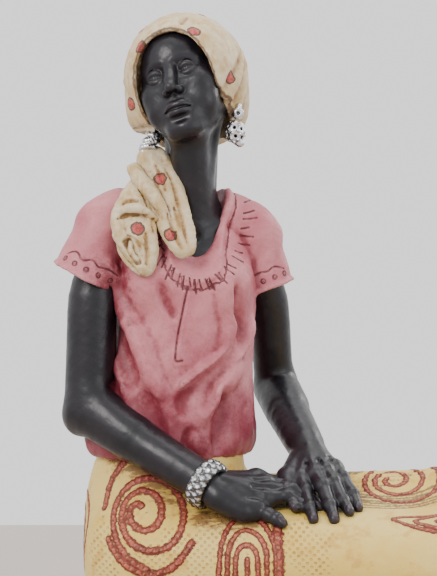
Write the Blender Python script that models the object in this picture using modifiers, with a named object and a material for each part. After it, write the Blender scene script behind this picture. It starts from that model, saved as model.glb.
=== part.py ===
"""Seated woman figurine in painted cast resin: hollow castings, pinned and glued, on a felted base.

Sizes are in millimetres and become metres where a shape is made. +X runs to the figure's left, along
her legs, -Y is the side that she looks towards, and +Z is up. The origin lies on the resting face,
below her spine.
"""

import math
from collections import namedtuple

import bmesh
import bpy
from mathutils import Matrix, Vector

MM = 0.001

# Driving dimensions of the figure
WAIST_HEIGHT = 84.0  # resting face to the blouse's hem
SHOULDER_HEIGHT = 189.0  # resting face to the shoulder joints
SHOULDER_SPAN = 75.5  # between the shoulder joints
NECK_LENGTH = 41.0  # shoulder joints to the chin
NECK_RADIUS = 12.0
HEAD_HEIGHT = 62.0  # chin to crown
HIP_RADIUS = 31.0
THIGH_LENGTH = 150.0
SHIN_LENGTH = 112.0
KNEE_RADIUS = 21.5
HEM_RADIUS = 15.0  # of the skirt round each ankle
UPPER_ARM_RADIUS = 11.0
WRIST_RADIUS = 8.0
FINGER_RADIUS = 2.7
FOOT_LENGTH = 58.0  # heel to toes

# Driving dimensions of how it is made
WALL = 6.0  # of the hollow castings
CLEARANCE = 0.45  # glue gap between two pieces
FELT_THICKNESS = 1.5
BOARD_THICKNESS = 3.0
SCARF_THICKNESS = 6.0  # of the head wrap
BRACELET_THICKNESS = 5.0
EARRING_LENGTH = 19.0
NECK_PIN_RADIUS = 2.0
NECK_PIN_LENGTH = 34.0
ARM_PIN_RADIUS = 1.5
ARM_PIN_LENGTH = 18.0
FOOT_PIN_RADIUS = 1.25
FOOT_PIN_LENGTH = 20.0

# Poses of the body, as angles in degrees
TORSO_TURN = 15.0  # chest towards her left
HEAD_BACK = 22.0  # chin raised
HEAD_TILT = 12.0  # crown towards her right shoulder
HEAD_TURN = 15.0  # face towards her right
FOOT_RISE = 48.0  # toes above the heel

# Colours as linear RGB, with roughness and metallic value
SKIN = ("skin_black", (0.018, 0.017, 0.020), 0.38, 0.0)
BLOUSE = ("blouse_pink", (0.46, 0.17, 0.18), 0.55, 0.0)
SCARF = ("scarf_cream", (0.52, 0.44, 0.31), 0.6, 0.0)
SKIRT = ("skirt_yellow", (0.62, 0.47, 0.22), 0.6, 0.0)
SILVER = ("silver_paint", (0.52, 0.52, 0.54), 0.3, 0.9)
STEEL = ("pin_steel", (0.56, 0.57, 0.58), 0.3, 1.0)
BOARD = ("base_board", (0.24, 0.16, 0.09), 0.9, 0.0)
FELT = ("felt_black", (0.02, 0.02, 0.02), 1.0, 0.0)

Ball = namedtuple("Ball", "centre radii frame")


def ball(x, y, z, *radii, frame=None):
    """A ball or ellipsoid: one radius for a sphere, three for an ellipsoid."""
    radii = Vector(radii if len(radii) == 3 else radii * 3)
    return Ball(Vector((x, y, z)), radii, frame or Matrix.Identity(4))


def at(point, *radii):
    return ball(*point, *radii)


def in_head(x, y, z, *radii):
    """A ball placed and measured in head heights."""
    return ball(x, y, z, *radii, frame=HEAD)


def shrunk(balls, by):
    return [b._replace(radii=b.radii - Vector((by, by, by))) for b in balls]


# ---------------------------------------------------------------- landmarks, in millimetres

SHOULDER_LIFT = 2.0  # her right shoulder is this much higher than the mean, her left this much lower
CHEST = Vector((-2.5, 0.5, SHOULDER_HEIGHT))
ACROSS = Vector((math.cos(math.radians(TORSO_TURN)), math.sin(math.radians(TORSO_TURN)), 0))
RIGHT_SHOULDER = CHEST - ACROSS * SHOULDER_SPAN / 2 + Vector((0, 0, SHOULDER_LIFT))
LEFT_SHOULDER = CHEST + ACROSS * SHOULDER_SPAN / 2 - Vector((0, 0, SHOULDER_LIFT))
NECK_BASE = Vector((2.0, 5.0, SHOULDER_HEIGHT + 8.0))
HEAD_CENTRE = Vector((0.0, -3.0, SHOULDER_HEIGHT + NECK_LENGTH + HEAD_HEIGHT / 2))
RIGHT_HIP = Vector((-14.0, -24.0, HIP_RADIUS + 3.0))
LEFT_HIP = Vector((-12.0, 16.0, HIP_RADIUS + 8.0))
RIGHT_KNEE = RIGHT_HIP + THIGH_LENGTH * Vector((0.937, -0.347, 0.040))
LEFT_KNEE = LEFT_HIP + THIGH_LENGTH * Vector((0.960, -0.258, 0.115))
RIGHT_ANKLE = RIGHT_KNEE + SHIN_LENGTH * Vector((0.963, 0.190, -0.200))
LEFT_ANKLE = LEFT_KNEE + SHIN_LENGTH * Vector((0.945, -0.045, -0.320))
TORSO_HEIGHT = SHOULDER_HEIGHT - WAIST_HEIGHT
RIGHT_ELBOW = Vector((-46.5, -16.0, WAIST_HEIGHT + 0.21 * TORSO_HEIGHT))
LEFT_ELBOW = Vector((44.5, 38.0, WAIST_HEIGHT + 0.26 * TORSO_HEIGHT))
LAP_TOP = RIGHT_HIP.z + HIP_RADIUS  # height of the near thigh under the hands
RIGHT_WRIST = Vector((12.0, -49.5, LAP_TOP + 9.5))
LEFT_WRIST = Vector((59.0, -18.0, LAP_TOP + 22.0))
SKIRT_BOTTOM = FELT_THICKNESS + CLEARANCE


def head_frame():
    """From head heights, with the face towards -Y and the middle of the head at 0, to millimetres."""
    turn = Matrix.Rotation(math.radians(-HEAD_TURN), 4, "Z")
    tilt = Matrix.Rotation(math.radians(-HEAD_TILT), 4, "Y")
    back = Matrix.Rotation(math.radians(-HEAD_BACK), 4, "X")
    return Matrix.Translation(HEAD_CENTRE) @ turn @ tilt @ back @ Matrix.Scale(HEAD_HEIGHT, 4)


HEAD = head_frame()

# ---------------------------------------------------------------- modelling tools


def clear_scene():
    for obj in list(bpy.data.objects):
        bpy.data.objects.remove(obj)


def principled(finish):
    name, colour, roughness, metallic = finish
    material = bpy.data.materials.get(name)
    if material is None:
        material = bpy.data.materials.new(name)
        material.use_nodes = True
        shader = material.node_tree.nodes["Principled BSDF"]
        shader.inputs["Base Color"].default_value = (*colour, 1)
        shader.inputs["Roughness"].default_value = roughness
        shader.inputs["Metallic"].default_value = metallic
        material.diffuse_color = (*colour, 1)
    return material


def object_from(bm, name):
    mesh = bpy.data.meshes.new(name)
    bm.to_mesh(mesh)
    bm.free()
    obj = bpy.data.objects.new(name, mesh)
    bpy.context.scene.collection.objects.link(obj)
    return obj


def apply_modifiers(obj):
    """Makes the evaluated mesh the object's own."""
    bpy.context.view_layer.update()
    evaluated = obj.evaluated_get(bpy.context.evaluated_depsgraph_get())
    mesh = bpy.data.meshes.new_from_object(evaluated)
    obj.modifiers.clear()
    old = obj.data
    obj.data = mesh
    bpy.data.meshes.remove(old)
    return obj


def add_hull(bm, balls):
    """Adds one closed shell, the convex hull of the balls."""
    shell = bmesh.new()
    for centre, radii, frame in balls:
        place = Matrix.Scale(MM, 4) @ frame
        matrix = place @ Matrix.Translation(centre) @ Matrix.Diagonal((*radii, 1))
        bmesh.ops.create_icosphere(shell, subdivisions=3, radius=1, matrix=matrix)
    bmesh.ops.delete(shell, geom=shell.edges[:], context="EDGES_FACES")
    hull = bmesh.ops.convex_hull(shell, input=shell.verts[:])
    inside = [part for part in hull["geom_interior"] if isinstance(part, bmesh.types.BMVert)]
    bmesh.ops.delete(shell, geom=inside, context="VERTS")
    mesh = bpy.data.meshes.new("hull")
    shell.to_mesh(mesh)
    shell.free()
    bm.from_mesh(mesh)
    bpy.data.meshes.remove(mesh)


def limb(*balls):
    """A chain of hulls, each from one ball to the next."""
    return [list(pair) for pair in zip(balls, balls[1:])]


def fused(name, hulls, voxel, triangles, smoothing=6):
    """One skin round all the hulls, melted together as in clay and thinned to a triangle count."""
    bm = bmesh.new()
    for balls in hulls:
        add_hull(bm, balls)
    obj = object_from(bm, name)
    remesh = obj.modifiers.new("melt", "REMESH")
    remesh.mode = "VOXEL"
    remesh.voxel_size = voxel * MM
    smooth = obj.modifiers.new("soften", "SMOOTH")
    smooth.factor = 0.5
    smooth.iterations = smoothing
    apply_modifiers(obj)
    obj.data.calc_loop_triangles()
    thin = obj.modifiers.new("thin", "DECIMATE")
    thin.ratio = min(1.0, triangles / len(obj.data.loop_triangles))
    return apply_modifiers(obj)


def grown(obj, gap):
    """A copy of the object that is larger by the gap all over, to cut a neighbour with."""
    copy = bpy.data.objects.new(obj.name + "_cutter", obj.data.copy())
    copy.matrix_world = obj.matrix_world
    bpy.context.scene.collection.objects.link(copy)
    swell = copy.modifiers.new("swell", "DISPLACE")
    swell.mid_level = 0
    swell.strength = gap * MM
    return apply_modifiers(copy)


def boolean(obj, other, operation):
    """Cuts or joins with another object, and removes that object."""
    modifier = obj.modifiers.new(operation.lower(), "BOOLEAN")
    modifier.operation = operation
    modifier.solver = "EXACT"
    modifier.object = other
    apply_modifiers(obj)
    bpy.data.objects.remove(other)
    return keep_largest(obj)


def cut_by(obj, *neighbours, gap=CLEARANCE):
    for neighbour in neighbours:
        boolean(obj, grown(neighbour, gap), "DIFFERENCE")
    return obj


def keep_largest(obj):
    """Removes the crumbs that a cut can leave beside the main body."""
    bm = bmesh.new()
    bm.from_mesh(obj.data)
    unseen, bodies = set(bm.verts), []
    while unseen:
        stack, body = [unseen.pop()], []
        while stack:
            vertex = stack.pop()
            body.append(vertex)
            linked = {edge.other_vert(vertex) for edge in vertex.link_edges} & unseen
            unseen -= linked
            stack.extend(linked)
        bodies.append(body)
    bodies.sort(key=len)
    bmesh.ops.delete(bm, geom=[v for body in bodies[:-1] for v in body], context="VERTS")
    bm.to_mesh(obj.data)
    bm.free()
    return obj


def box(name, low, high):
    """A box between two corners in millimetres, used to cut or to trim."""
    low, high = Vector(low) * MM, Vector(high) * MM
    place = Matrix.Translation((low + high) / 2) @ Matrix.Diagonal((*(high - low), 1))
    bm = bmesh.new()
    bmesh.ops.create_cube(bm, size=1, matrix=place)
    return object_from(bm, name)


def rod(name, middle, direction, radius, length, sides=20):
    """A straight round bar about its middle point."""
    bm = bmesh.new()
    turn = Vector(direction).to_track_quat("Z", "Y").to_matrix().to_4x4()
    bmesh.ops.create_cone(
        bm,
        cap_ends=True,
        segments=sides,
        radius1=radius * MM,
        radius2=radius * MM,
        depth=length * MM,
        matrix=Matrix.Translation(Vector(middle) * MM) @ turn,
    )
    return object_from(bm, name)


def pin(name, middle, direction, radius, length, *held_in):
    """A steel dowel, and its hole in every casting that it holds together."""
    for casting in held_in:
        hole = rod("hole", middle, direction, radius + CLEARANCE / 2, length + 2 * CLEARANCE)
        boolean(casting, hole, "DIFFERENCE")
    return rod(name, middle, direction, radius, length)


def finish(obj, look):
    obj.data.materials.clear()
    obj.data.materials.append(principled(look))
    obj.data.shade_smooth()
    obj.data.set_sharp_from_angle(angle=math.radians(40))
    return obj


# ---------------------------------------------------------------- the castings


def to_ground(balls):
    """The balls and their shadows on the ground, so that a hull of them is draped cloth."""
    shadows = [at((b.centre.x, b.centre.y, 0), b.radii.x, b.radii.y, 4) for b in balls]
    return list(balls) + shadows


def skirt_hulls():
    right = [at(RIGHT_HIP, HIP_RADIUS), at(RIGHT_KNEE, KNEE_RADIUS), at(RIGHT_ANKLE, HEM_RADIUS)]
    left = [at(LEFT_HIP, HIP_RADIUS - 1), at(LEFT_KNEE, KNEE_RADIUS), at(LEFT_ANKLE, HEM_RADIUS)]
    waist = [at((-6, 1, WAIST_HEIGHT - 5), 37, 28, 8), at((-20.5, 2, WAIST_HEIGHT - 29), 30, 33, 24)]
    lap_slack = 3  # the cloth between the thighs sags this far
    lap = shrunk([right[0], left[0], right[1], left[1]], lap_slack)
    shins = shrunk([right[1], left[1], right[2], left[2]], lap_slack)
    hulls = [to_ground(pair) for leg in (right, left) for pair in limb(*leg)]
    return hulls + [to_ground([right[0], left[0]]) + waist, to_ground(lap), to_ground(shins)]


def waist_boss(grow=0.0):
    """The spigot on the skirt that fits inside the hollow torso."""
    low, high = WAIST_HEIGHT - 12, WAIST_HEIGHT + 12
    return [[ball(-7, 1, z, 29 + grow, 22 + grow, 4 + grow) for z in (low, high)]]


def make_skirt():
    skirt = fused("skirt_casting", skirt_hulls() + waist_boss(), 2.2, 1700, smoothing=8)
    boolean(skirt, box("ground", (-200, -200, -50), (400, 200, SKIRT_BOTTOM)), "DIFFERENCE")
    hollow = fused("hollow", [shrunk(h, WALL) for h in skirt_hulls()], 3.5, 500, smoothing=4)
    lift = box("keep", (-200, -200, SKIRT_BOTTOM - 10), (RIGHT_ANKLE.x - 25, 200, WAIST_HEIGHT - 14))
    boolean(hollow, lift, "INTERSECT")
    return boolean(skirt, hollow, "DIFFERENCE")


def torso_hulls():
    middle = WAIST_HEIGHT + 0.40 * TORSO_HEIGHT
    chest = WAIST_HEIGHT + 0.66 * TORSO_HEIGHT
    hem = ball(-7, 1, WAIST_HEIGHT + 8, 42, 32, 10)
    belly = ball(-4, 1, middle, 38, 30, 22)
    ribs = ball(1, 1, chest, 35, 28, 22)
    collar = at(NECK_BASE + Vector((0, 1, 1)), 24, 13, 9)
    shoulders = [at(RIGHT_SHOULDER, UPPER_ARM_RADIUS + 1.5), at(LEFT_SHOULDER, UPPER_ARM_RADIUS + 1), collar]
    bust = [ball(-13, -16, chest - 6, 15), ball(19, -9, chest - 6, 15)]
    return [[hem, belly], [belly, ribs], [ribs, *shoulders], [belly, *bust], [ribs, *bust]]




def sleeve_hulls():
    """Each sleeve: the shoulder, then the outer and the inner end of its flared hem."""
    hulls = []
    for shoulder, side in ((RIGHT_SHOULDER, -1), (LEFT_SHOULDER, 1)):
        outer = shoulder + Vector((side * (UPPER_ARM_RADIUS + 3.5), side, -16))
        inner = shoulder + Vector((side, side, -23))
        radius = UPPER_ARM_RADIUS + 1
        hulls.append([at(shoulder, radius), at(outer, 6.5, radius + 0.5, 6), at(inner, 9, radius + 2, 6.5)])
    return hulls


def make_torso(head, right_arm, left_arm, skirt):
    torso = fused("torso_casting", torso_hulls() + sleeve_hulls(), 2.0, 1500, smoothing=5)
    under = (-200, -200, -50), (200, 200, WAIST_HEIGHT)
    boolean(torso, box("under", *under), "DIFFERENCE")
    front = ball(9, -32, SHOULDER_HEIGHT + 16, 20, 10, 32)
    back = at(NECK_BASE + Vector((1, 0, 12)), 20, 14, 11)
    boolean(torso, fused("neckline", [[front, back]], 2.0, 250), "DIFFERENCE")
    hollow_top = WAIST_HEIGHT + 0.6 * TORSO_HEIGHT
    low = ball(-8, 1, WAIST_HEIGHT, 40 - WALL - 2, 32 - WALL - 2, 12)
    high = ball(-2, 1, hollow_top - 12, 30 - WALL, 26 - WALL, 12)
    boolean(torso, fused("hollow", [[low, high]], 3.0, 250), "DIFFERENCE")
    return cut_by(torso, head, right_arm, left_arm, skirt)


def make_head():
    face = [in_head(0, -0.10, 0.06, 0.32, 0.28, 0.32), in_head(0, -0.15, -0.42, 0.17, 0.17, 0.14)]
    nose = [in_head(0, -0.36, -0.06, 0.06, 0.08, 0.08), in_head(0, -0.36, 0.08, 0.04, 0.05, 0.05)]
    nape = HEAD @ Vector((0, 0.12, -0.16))
    chest = NECK_BASE + Vector((3, -10, -22))
    hulls = [
        [in_head(0, 0.07, 0.12, 0.35, 0.42, 0.36)],
        face,
        nose,
        [at(nape, NECK_RADIUS), at(NECK_BASE, NECK_RADIUS)],
        [at(NECK_BASE, 17, 12, 8), at(chest, 16, 14, 12)],
    ]
    return fused("head_casting", hulls, 1.6, 1200, smoothing=4)


def make_headscarf(head):
    thick = SCARF_THICKNESS / HEAD_HEIGHT
    hulls = [[in_head(-0.01, 0.10, 0.10, 0.40 + thick, 0.45 + thick, 0.44 + thick)]]
    scarf = fused("headscarf_casting", hulls, 1.8, 900, smoothing=4)
    opening = [in_head(0, -0.80, -0.14, 0.34, 0.3, 0.46), in_head(0, -0.22, -0.14, 0.34, 0.10, 0.46)]
    nape = [in_head(0, -0.35, -0.62, 0.42, 0.3, 0.34), in_head(0, 0.6, -0.78, 0.6, 0.3, 0.3)]
    for name, hull in (("opening", opening), ("nape", nape)):
        boolean(scarf, fused(name, [hull], 1.8, 300), "DIFFERENCE")
    return cut_by(scarf, head)


SCARF_KNOT = HEAD_CENTRE + HEAD_HEIGHT * Vector((-0.325, 0.03, -0.565))  # where both tails leave the wrap


def tail(name, first, *steps):
    """A flat tail of the scarf: each step is an offset from the knot and three radii."""
    balls = [at(SCARF_KNOT + Vector(first[0]), *first[1])]
    balls += [at(SCARF_KNOT + Vector(offset), *radii) for offset, radii in steps]
    return fused(name, limb(*balls), 1.2, 360, smoothing=4)


def make_tails():
    inner = tail(
        "scarf_tail_inner",
        ((2, 0, -1), (6, 5, 5)),
        ((7, -12, -14), (8, 5, 7)),
        ((14, -23, -30), (7.5, 4.5, 8)),
        ((20, -30, -43), (5, 4, 5)),
    )
    outer = tail(
        "scarf_tail_outer",
        ((-1, -9, -8), (6, 5, 5)),
        ((-6, -20, -24), (10, 5, 9)),
        ((-3, -27, -40), (9, 4.5, 8)),
        ((2, -31, -52), (4, 3.5, 4)),
    )
    return inner, outer


def finger(*joints):
    """A finger through its joints, thinner towards the tip."""
    radii = [FINGER_RADIUS * (1 - 0.08 * i) for i in range(len(joints))]
    return limb(*[at(j, r) for j, r in zip(joints, radii)])


def make_right_arm():
    s, e, w = RIGHT_SHOULDER, RIGHT_ELBOW, RIGHT_WRIST
    arm = limb(
        at(s + Vector((-3, -1, -5)), UPPER_ARM_RADIUS),
        at(s.lerp(e, 0.35) + Vector((-3, -1, 0)), UPPER_ARM_RADIUS),
        at(s.lerp(e, 0.7) + Vector((-1, 0, 0)), UPPER_ARM_RADIUS + 0.6),
        at(e, UPPER_ARM_RADIUS + 0.3),
        at(e.lerp(w, 0.35), UPPER_ARM_RADIUS - 0.3),
        at(e.lerp(w, 0.7), UPPER_ARM_RADIUS - 1.5),
        at(w, WRIST_RADIUS),
    )
    far, near = w + Vector((20, 2, -3)), w + Vector((20, -6, -5))
    palm = [at(w + Vector((5, 0, -1)), 7.5, 8, 6.5), at(far, 6, 5, 4.5), at(near, 5.5, 4, 4.5)]
    fingers = []
    for i in range(3):
        side = 5.5 - 5.4 * i
        root, middle, tip = Vector((2, side, 0)), Vector((13, side, -3)), Vector((23, side + 0.5, -5.5))
        fingers += finger(far + root, far + middle, far + tip)
    little = finger(near + Vector((0, -1, -1)), near + Vector((8, -3, -5)), near + Vector((14, -3, -10)))
    hulls = arm + [palm] + fingers + little
    return fused("right_arm_casting", hulls, 1.3, 1300, smoothing=4)


def make_left_arm():
    s, e, w = LEFT_SHOULDER, LEFT_ELBOW, LEFT_WRIST
    arm = limb(
        at(s + Vector((1.5, 1, -5)), UPPER_ARM_RADIUS - 1.5),
        at(s.lerp(e, 0.4) + Vector((2.5, 0, 0)), UPPER_ARM_RADIUS - 2),
        at(e, UPPER_ARM_RADIUS - 1),
        at(e.lerp(w, 0.4), UPPER_ARM_RADIUS - 1.2),
        at(w, WRIST_RADIUS),
    )
    knuckle = w + Vector((6, -17, -11))
    inner, outer = at(knuckle + Vector((-7, 0, 1)), 4.5, 5, 4.5), at(knuckle + Vector((8, 3, 1)), 4, 5, 4.5)
    palm = [at(w + Vector((1, -4, -1)), 8, 7, 6.5), inner, outer]
    fingers = []
    for i in range(4):
        root = knuckle + Vector((-8 + 5.6 * i, 0.8 * i, 0))
        fan = -1.2 + 1.1 * i
        fingers += finger(root, root + Vector((fan, -11, -4)), root + Vector((1.6 * fan, -19 + i, -12.5)))
    thumb = finger(w + Vector((-6, -8, -5)), w + Vector((-8, -20, -10)), w + Vector((-7, -29, -14.5)))
    return fused("left_arm_casting", arm + [palm] + fingers + thumb, 1.3, 1300, smoothing=4)


def make_foot(name, ankle, lean):
    """A bare foot with its toes up and its ankle inside the hem; lean is how far the toes fall sideways."""
    rise = math.radians(FOOT_RISE)
    toes = FOOT_LENGTH * Vector((math.cos(rise), lean, math.sin(rise)))
    heel = ankle + Vector((16, 0, -6))
    instep = heel + 0.42 * toes + Vector((-5, 0, 6))
    pad = heel + 0.68 * toes
    hulls = limb(at(ankle + Vector((-4, 0, 0)), 8), at(ankle + Vector((8, 0, 1)), 8), at(heel, 7.5, 8, 7.5))
    front_of_ankle = ankle + Vector((10, 0, 3))
    hulls += [[at(heel, 7.5, 8, 7.5), at(front_of_ankle, 7), at(instep, 5, 7, 5), at(pad, 5, 9, 5)]]
    hulls += [[at(pad, 4.5, 9, 5), at(heel + 0.94 * toes, 3, 8, 3.2)]]
    return fused(name, hulls, 1.5, 420, smoothing=5)


def make_bracelet():
    """A ring round the right wrist, square to the forearm."""
    direction = (RIGHT_WRIST - RIGHT_ELBOW).normalized()
    middle = (RIGHT_WRIST - 2 * direction) * MM
    bpy.ops.mesh.primitive_torus_add(
        major_segments=30,
        minor_segments=8,
        major_radius=(WRIST_RADIUS + BRACELET_THICKNESS / 2 + 0.6) * MM,
        minor_radius=BRACELET_THICKNESS / 2 * MM,
        location=middle,
        rotation=direction.to_track_quat("Z", "Y").to_euler(),
    )
    ring = bpy.context.object
    ring.name = "bracelet"
    return ring


def make_earring(name, side):
    """A drop hanging from an ear lobe: a small upper boss and a larger lower one."""
    lobe = HEAD @ Vector((0.40 * side, 0.02, -0.14))
    drop = Vector((0, 0, -EARRING_LENGTH))
    balls = [at(lobe, 3.2, 3.2, 4), at(lobe + 0.35 * drop, 3.4), at(lobe + 0.72 * drop, 4.6, 4.2, 5.2)]
    return fused(name, limb(*balls), 1.0, 240, smoothing=2)


def make_board(skirt):
    """The board that closes the skirt from below: the outline of the hollow, less its clearance."""
    low, high = SKIRT_BOTTOM, SKIRT_BOTTOM + BOARD_THICKNESS
    board = fused("base_board", [shrunk(h, WALL + 1.5) for h in skirt_hulls()], 3.5, 400, smoothing=4)
    slab = box("slab", (-200, -200, low), (RIGHT_ANKLE.x - 28, 200, high))
    return boolean(board, slab, "INTERSECT")


def make_felt():
    felt = fused("felt_pad", [shrunk(h, 1.5) for h in skirt_hulls()], 3.0, 500, smoothing=6)
    slab = box("slab", (-200, -200, 0), (RIGHT_ANKLE.x + 12, 200, FELT_THICKNESS))
    return boolean(felt, slab, "INTERSECT")


# ---------------------------------------------------------------- assembly


def main():
    clear_scene()
    looks = {}

    right_arm = make_right_arm()
    left_arm = make_left_arm()
    cut_by(right_arm, left_arm)
    bracelet = make_bracelet()
    cut_by(right_arm, bracelet)
    head = make_head()
    headscarf = make_headscarf(head)
    earrings = [make_earring("earring_right", -1), make_earring("earring_left", 1)]
    feet = [
        make_foot("right_foot_casting", RIGHT_ANKLE, -0.18),
        make_foot("left_foot_casting", LEFT_ANKLE, 0.10),
    ]
    cut_by(feet[0], feet[1])

    skirt = make_skirt()
    cut_by(skirt, right_arm, left_arm, bracelet, *feet)
    torso = make_torso(head, right_arm, left_arm, skirt)
    cut_by(torso, bracelet)
    inner, outer = make_tails()
    cut_by(inner, head, headscarf, torso)
    cut_by(outer, head, headscarf, torso, inner)
    for earring in earrings:
        cut_by(earring, head, headscarf, inner)
    cut_by(outer, earrings[0])

    board = make_board(skirt)
    felt = make_felt()
    neck = NECK_BASE + Vector((1, -2, -20))
    pins = [pin("neck_pin", neck, (0, 0, 1), NECK_PIN_RADIUS, NECK_PIN_LENGTH, head, torso)]
    for side, shoulder, arm in (("right", RIGHT_SHOULDER, right_arm), ("left", LEFT_SHOULDER, left_arm)):
        inward = 2 if side == "right" else -2
        middle = shoulder + Vector((inward, 0, -7))
        pins.append(pin(f"{side}_shoulder_pin", middle, ACROSS, ARM_PIN_RADIUS, ARM_PIN_LENGTH, arm, torso))
    for foot, ankle, side in zip(feet, (RIGHT_ANKLE, LEFT_ANKLE), ("right", "left")):
        middle = ankle + Vector((-6, 0, 0))
        name = f"{side}_foot_pin"
        pins.append(pin(name, middle, (1, 0, 0), FOOT_PIN_RADIUS, FOOT_PIN_LENGTH, foot, skirt))

    looks[SKIN] = [right_arm, left_arm, head, *feet]
    looks[BLOUSE] = [torso]
    looks[SCARF] = [headscarf, inner, outer]
    looks[SKIRT] = [skirt]
    looks[SILVER] = [bracelet, *earrings]
    looks[STEEL] = pins
    looks[BOARD] = [board]
    looks[FELT] = [felt]
    figurine = bpy.data.collections.new("seated_figurine")
    bpy.context.scene.collection.children.link(figurine)
    for look, objects in looks.items():
        for obj in objects:
            finish(obj, look)
            for collection in obj.users_collection:
                collection.objects.unlink(obj)
            figurine.objects.link(obj)


main()
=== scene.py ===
"""Looks of the seated woman figurine: sculpted skin, cloth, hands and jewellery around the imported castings.

Shapes are sculpted as clay on a grid and skinned. Lengths are in millimetres until a mesh is made. Each
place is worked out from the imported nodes' boxes: +X runs along her legs, -Y is her front and +Z is up.
"""

import math
from collections import namedtuple

import bpy
import numpy as np
from mathutils import Matrix, Vector
from mathutils.kdtree import KDTree


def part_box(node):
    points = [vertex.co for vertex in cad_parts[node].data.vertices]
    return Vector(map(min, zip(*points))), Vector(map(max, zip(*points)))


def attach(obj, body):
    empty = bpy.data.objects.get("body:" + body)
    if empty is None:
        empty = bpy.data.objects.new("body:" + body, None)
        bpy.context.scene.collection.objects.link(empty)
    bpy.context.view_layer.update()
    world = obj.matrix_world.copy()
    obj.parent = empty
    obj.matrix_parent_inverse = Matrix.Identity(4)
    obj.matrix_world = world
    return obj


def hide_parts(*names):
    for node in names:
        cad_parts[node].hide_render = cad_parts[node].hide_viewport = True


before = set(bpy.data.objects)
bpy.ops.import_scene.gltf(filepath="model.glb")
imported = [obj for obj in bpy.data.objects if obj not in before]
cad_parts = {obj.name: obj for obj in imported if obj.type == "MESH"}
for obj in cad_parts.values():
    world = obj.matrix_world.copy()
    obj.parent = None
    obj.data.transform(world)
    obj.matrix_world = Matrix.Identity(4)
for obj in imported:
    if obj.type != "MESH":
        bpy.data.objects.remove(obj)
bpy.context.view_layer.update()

MM = 0.001
COARSE = 1.0  # quick tries use larger grid steps
FAR = 60.0  # a distance that stands for nothing near
GRID = {"skirt": 0.85, "blouse": 0.68, "arm": 0.52, "foot": 0.5, "head": 0.42, "wrap": 0.58, "tail": 0.40,
        "earring": 0.24, "felt": 0.9}  # each clay's grid step
FELT_MIDDLE = 0.75  # half the felt's thickness


# ---------------------------------------------------------------- landmarks


def corners(node):
    low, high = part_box(node)
    return np.array(low) / MM, np.array(high) / MM


def spot(node, *shares):
    """A point by its shares of a node's box along X, Y and Z, in millimetres."""
    low, high = corners(node)
    return low + np.array(shares) * (high - low)


def offset(point, x=0.0, y=0.0, z=0.0):
    return np.asarray(point, float) + (x, y, z)


def offsets(point, *shifts):
    """A point shifted in several ways, as a list."""
    return [offset(point, *shift) for shift in shifts]


def mix(a, b, share):
    return np.asarray(a) * (1 - share) + np.asarray(b) * share


TORSO_TURN = math.radians(15)
ACROSS = np.array([math.cos(TORSO_TURN), math.sin(TORSO_TURN), 0.0])  # towards her left
SPINE = spot("torso_casting", 0.48, 0.50, 0.0)  # under the chest, at the blouse's hem
NECK_BASE = spot("torso_casting", 0.540, 0.563, 0.929)
RIGHT_SHOULDER = spot("torso_casting", 0.180, 0.338, 0.879)
LEFT_SHOULDER = spot("torso_casting", 0.822, 0.647, 0.846)
RIGHT_ELBOW = spot("right_arm_casting", 0.097, 0.730, 0.346)
RIGHT_WRIST = spot("right_arm_casting", 0.607, 0.182, 0.118)
LEFT_ELBOW = spot("left_arm_casting", 0.346, 0.906, 0.383)
LEFT_WRIST = spot("left_arm_casting", 0.618, 0.366, 0.195)
RIGHT_HIP = spot("skirt_casting", 0.119, 0.513, 0.328)
LEFT_HIP = spot("skirt_casting", 0.126, 0.792, 0.379)
RIGHT_KNEE = spot("skirt_casting", 0.584, 0.148, 0.389)
LEFT_KNEE = spot("skirt_casting", 0.602, 0.522, 0.555)
RIGHT_ANKLE = spot("skirt_casting", 0.940, 0.297, 0.160)
LEFT_ANKLE = spot("skirt_casting", 0.952, 0.487, 0.189)
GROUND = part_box("skirt_casting")[0].z / MM
HEAD_CENTRE = spot("headscarf_casting", 0.488, 0.336, 0.441)
HEAD_HEIGHT = 0.96 * (corners("headscarf_casting")[1] - corners("headscarf_casting")[0])[2]


def head_frame(turned, tilted, raised):
    """From head heights, with the face towards -Y and the head's middle at 0, to millimetres."""
    turn = Matrix.Rotation(math.radians(-turned), 4, "Z")
    tilt = Matrix.Rotation(math.radians(-tilted), 4, "Y")
    back = Matrix.Rotation(math.radians(-raised), 4, "X")
    place = Matrix.Translation(Vector(HEAD_CENTRE))
    return np.array(place @ turn @ tilt @ back @ Matrix.Scale(HEAD_HEIGHT, 4))


HEAD = head_frame(15, 17, 13)
WRAP = head_frame(15, 12, 22)  # the scarf sits further back than the face


def in_head(x, y, z, place=HEAD):
    """A point given in head heights, in millimetres."""
    return place[:3, :3] @ (x, y, z) + place[:3, 3]


# ---------------------------------------------------------------- clay

# A shape is the points that it lies round, how far it reaches from them, and its distance function.
Shape = namedtuple("Shape", "points reach distance")


def ball(centre, *radii):
    """A ball or, with three radii, an ellipsoid."""
    radii = np.array(radii if len(radii) == 3 else radii * 3, float)
    centre = np.asarray(centre, float)

    def distance(x, y, z):
        u, v, w = x - centre[0], y - centre[1], z - centre[2]
        near = np.sqrt((u / radii[0]) ** 2 + (v / radii[1]) ** 2 + (w / radii[2]) ** 2)
        slope = np.sqrt((u / radii[0] ** 2) ** 2 + (v / radii[1] ** 2) ** 2 + (w / radii[2] ** 2) ** 2)
        return near * (near - 1) / np.maximum(slope, 1e-9)

    return Shape([centre], radii.max(), distance)


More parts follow.
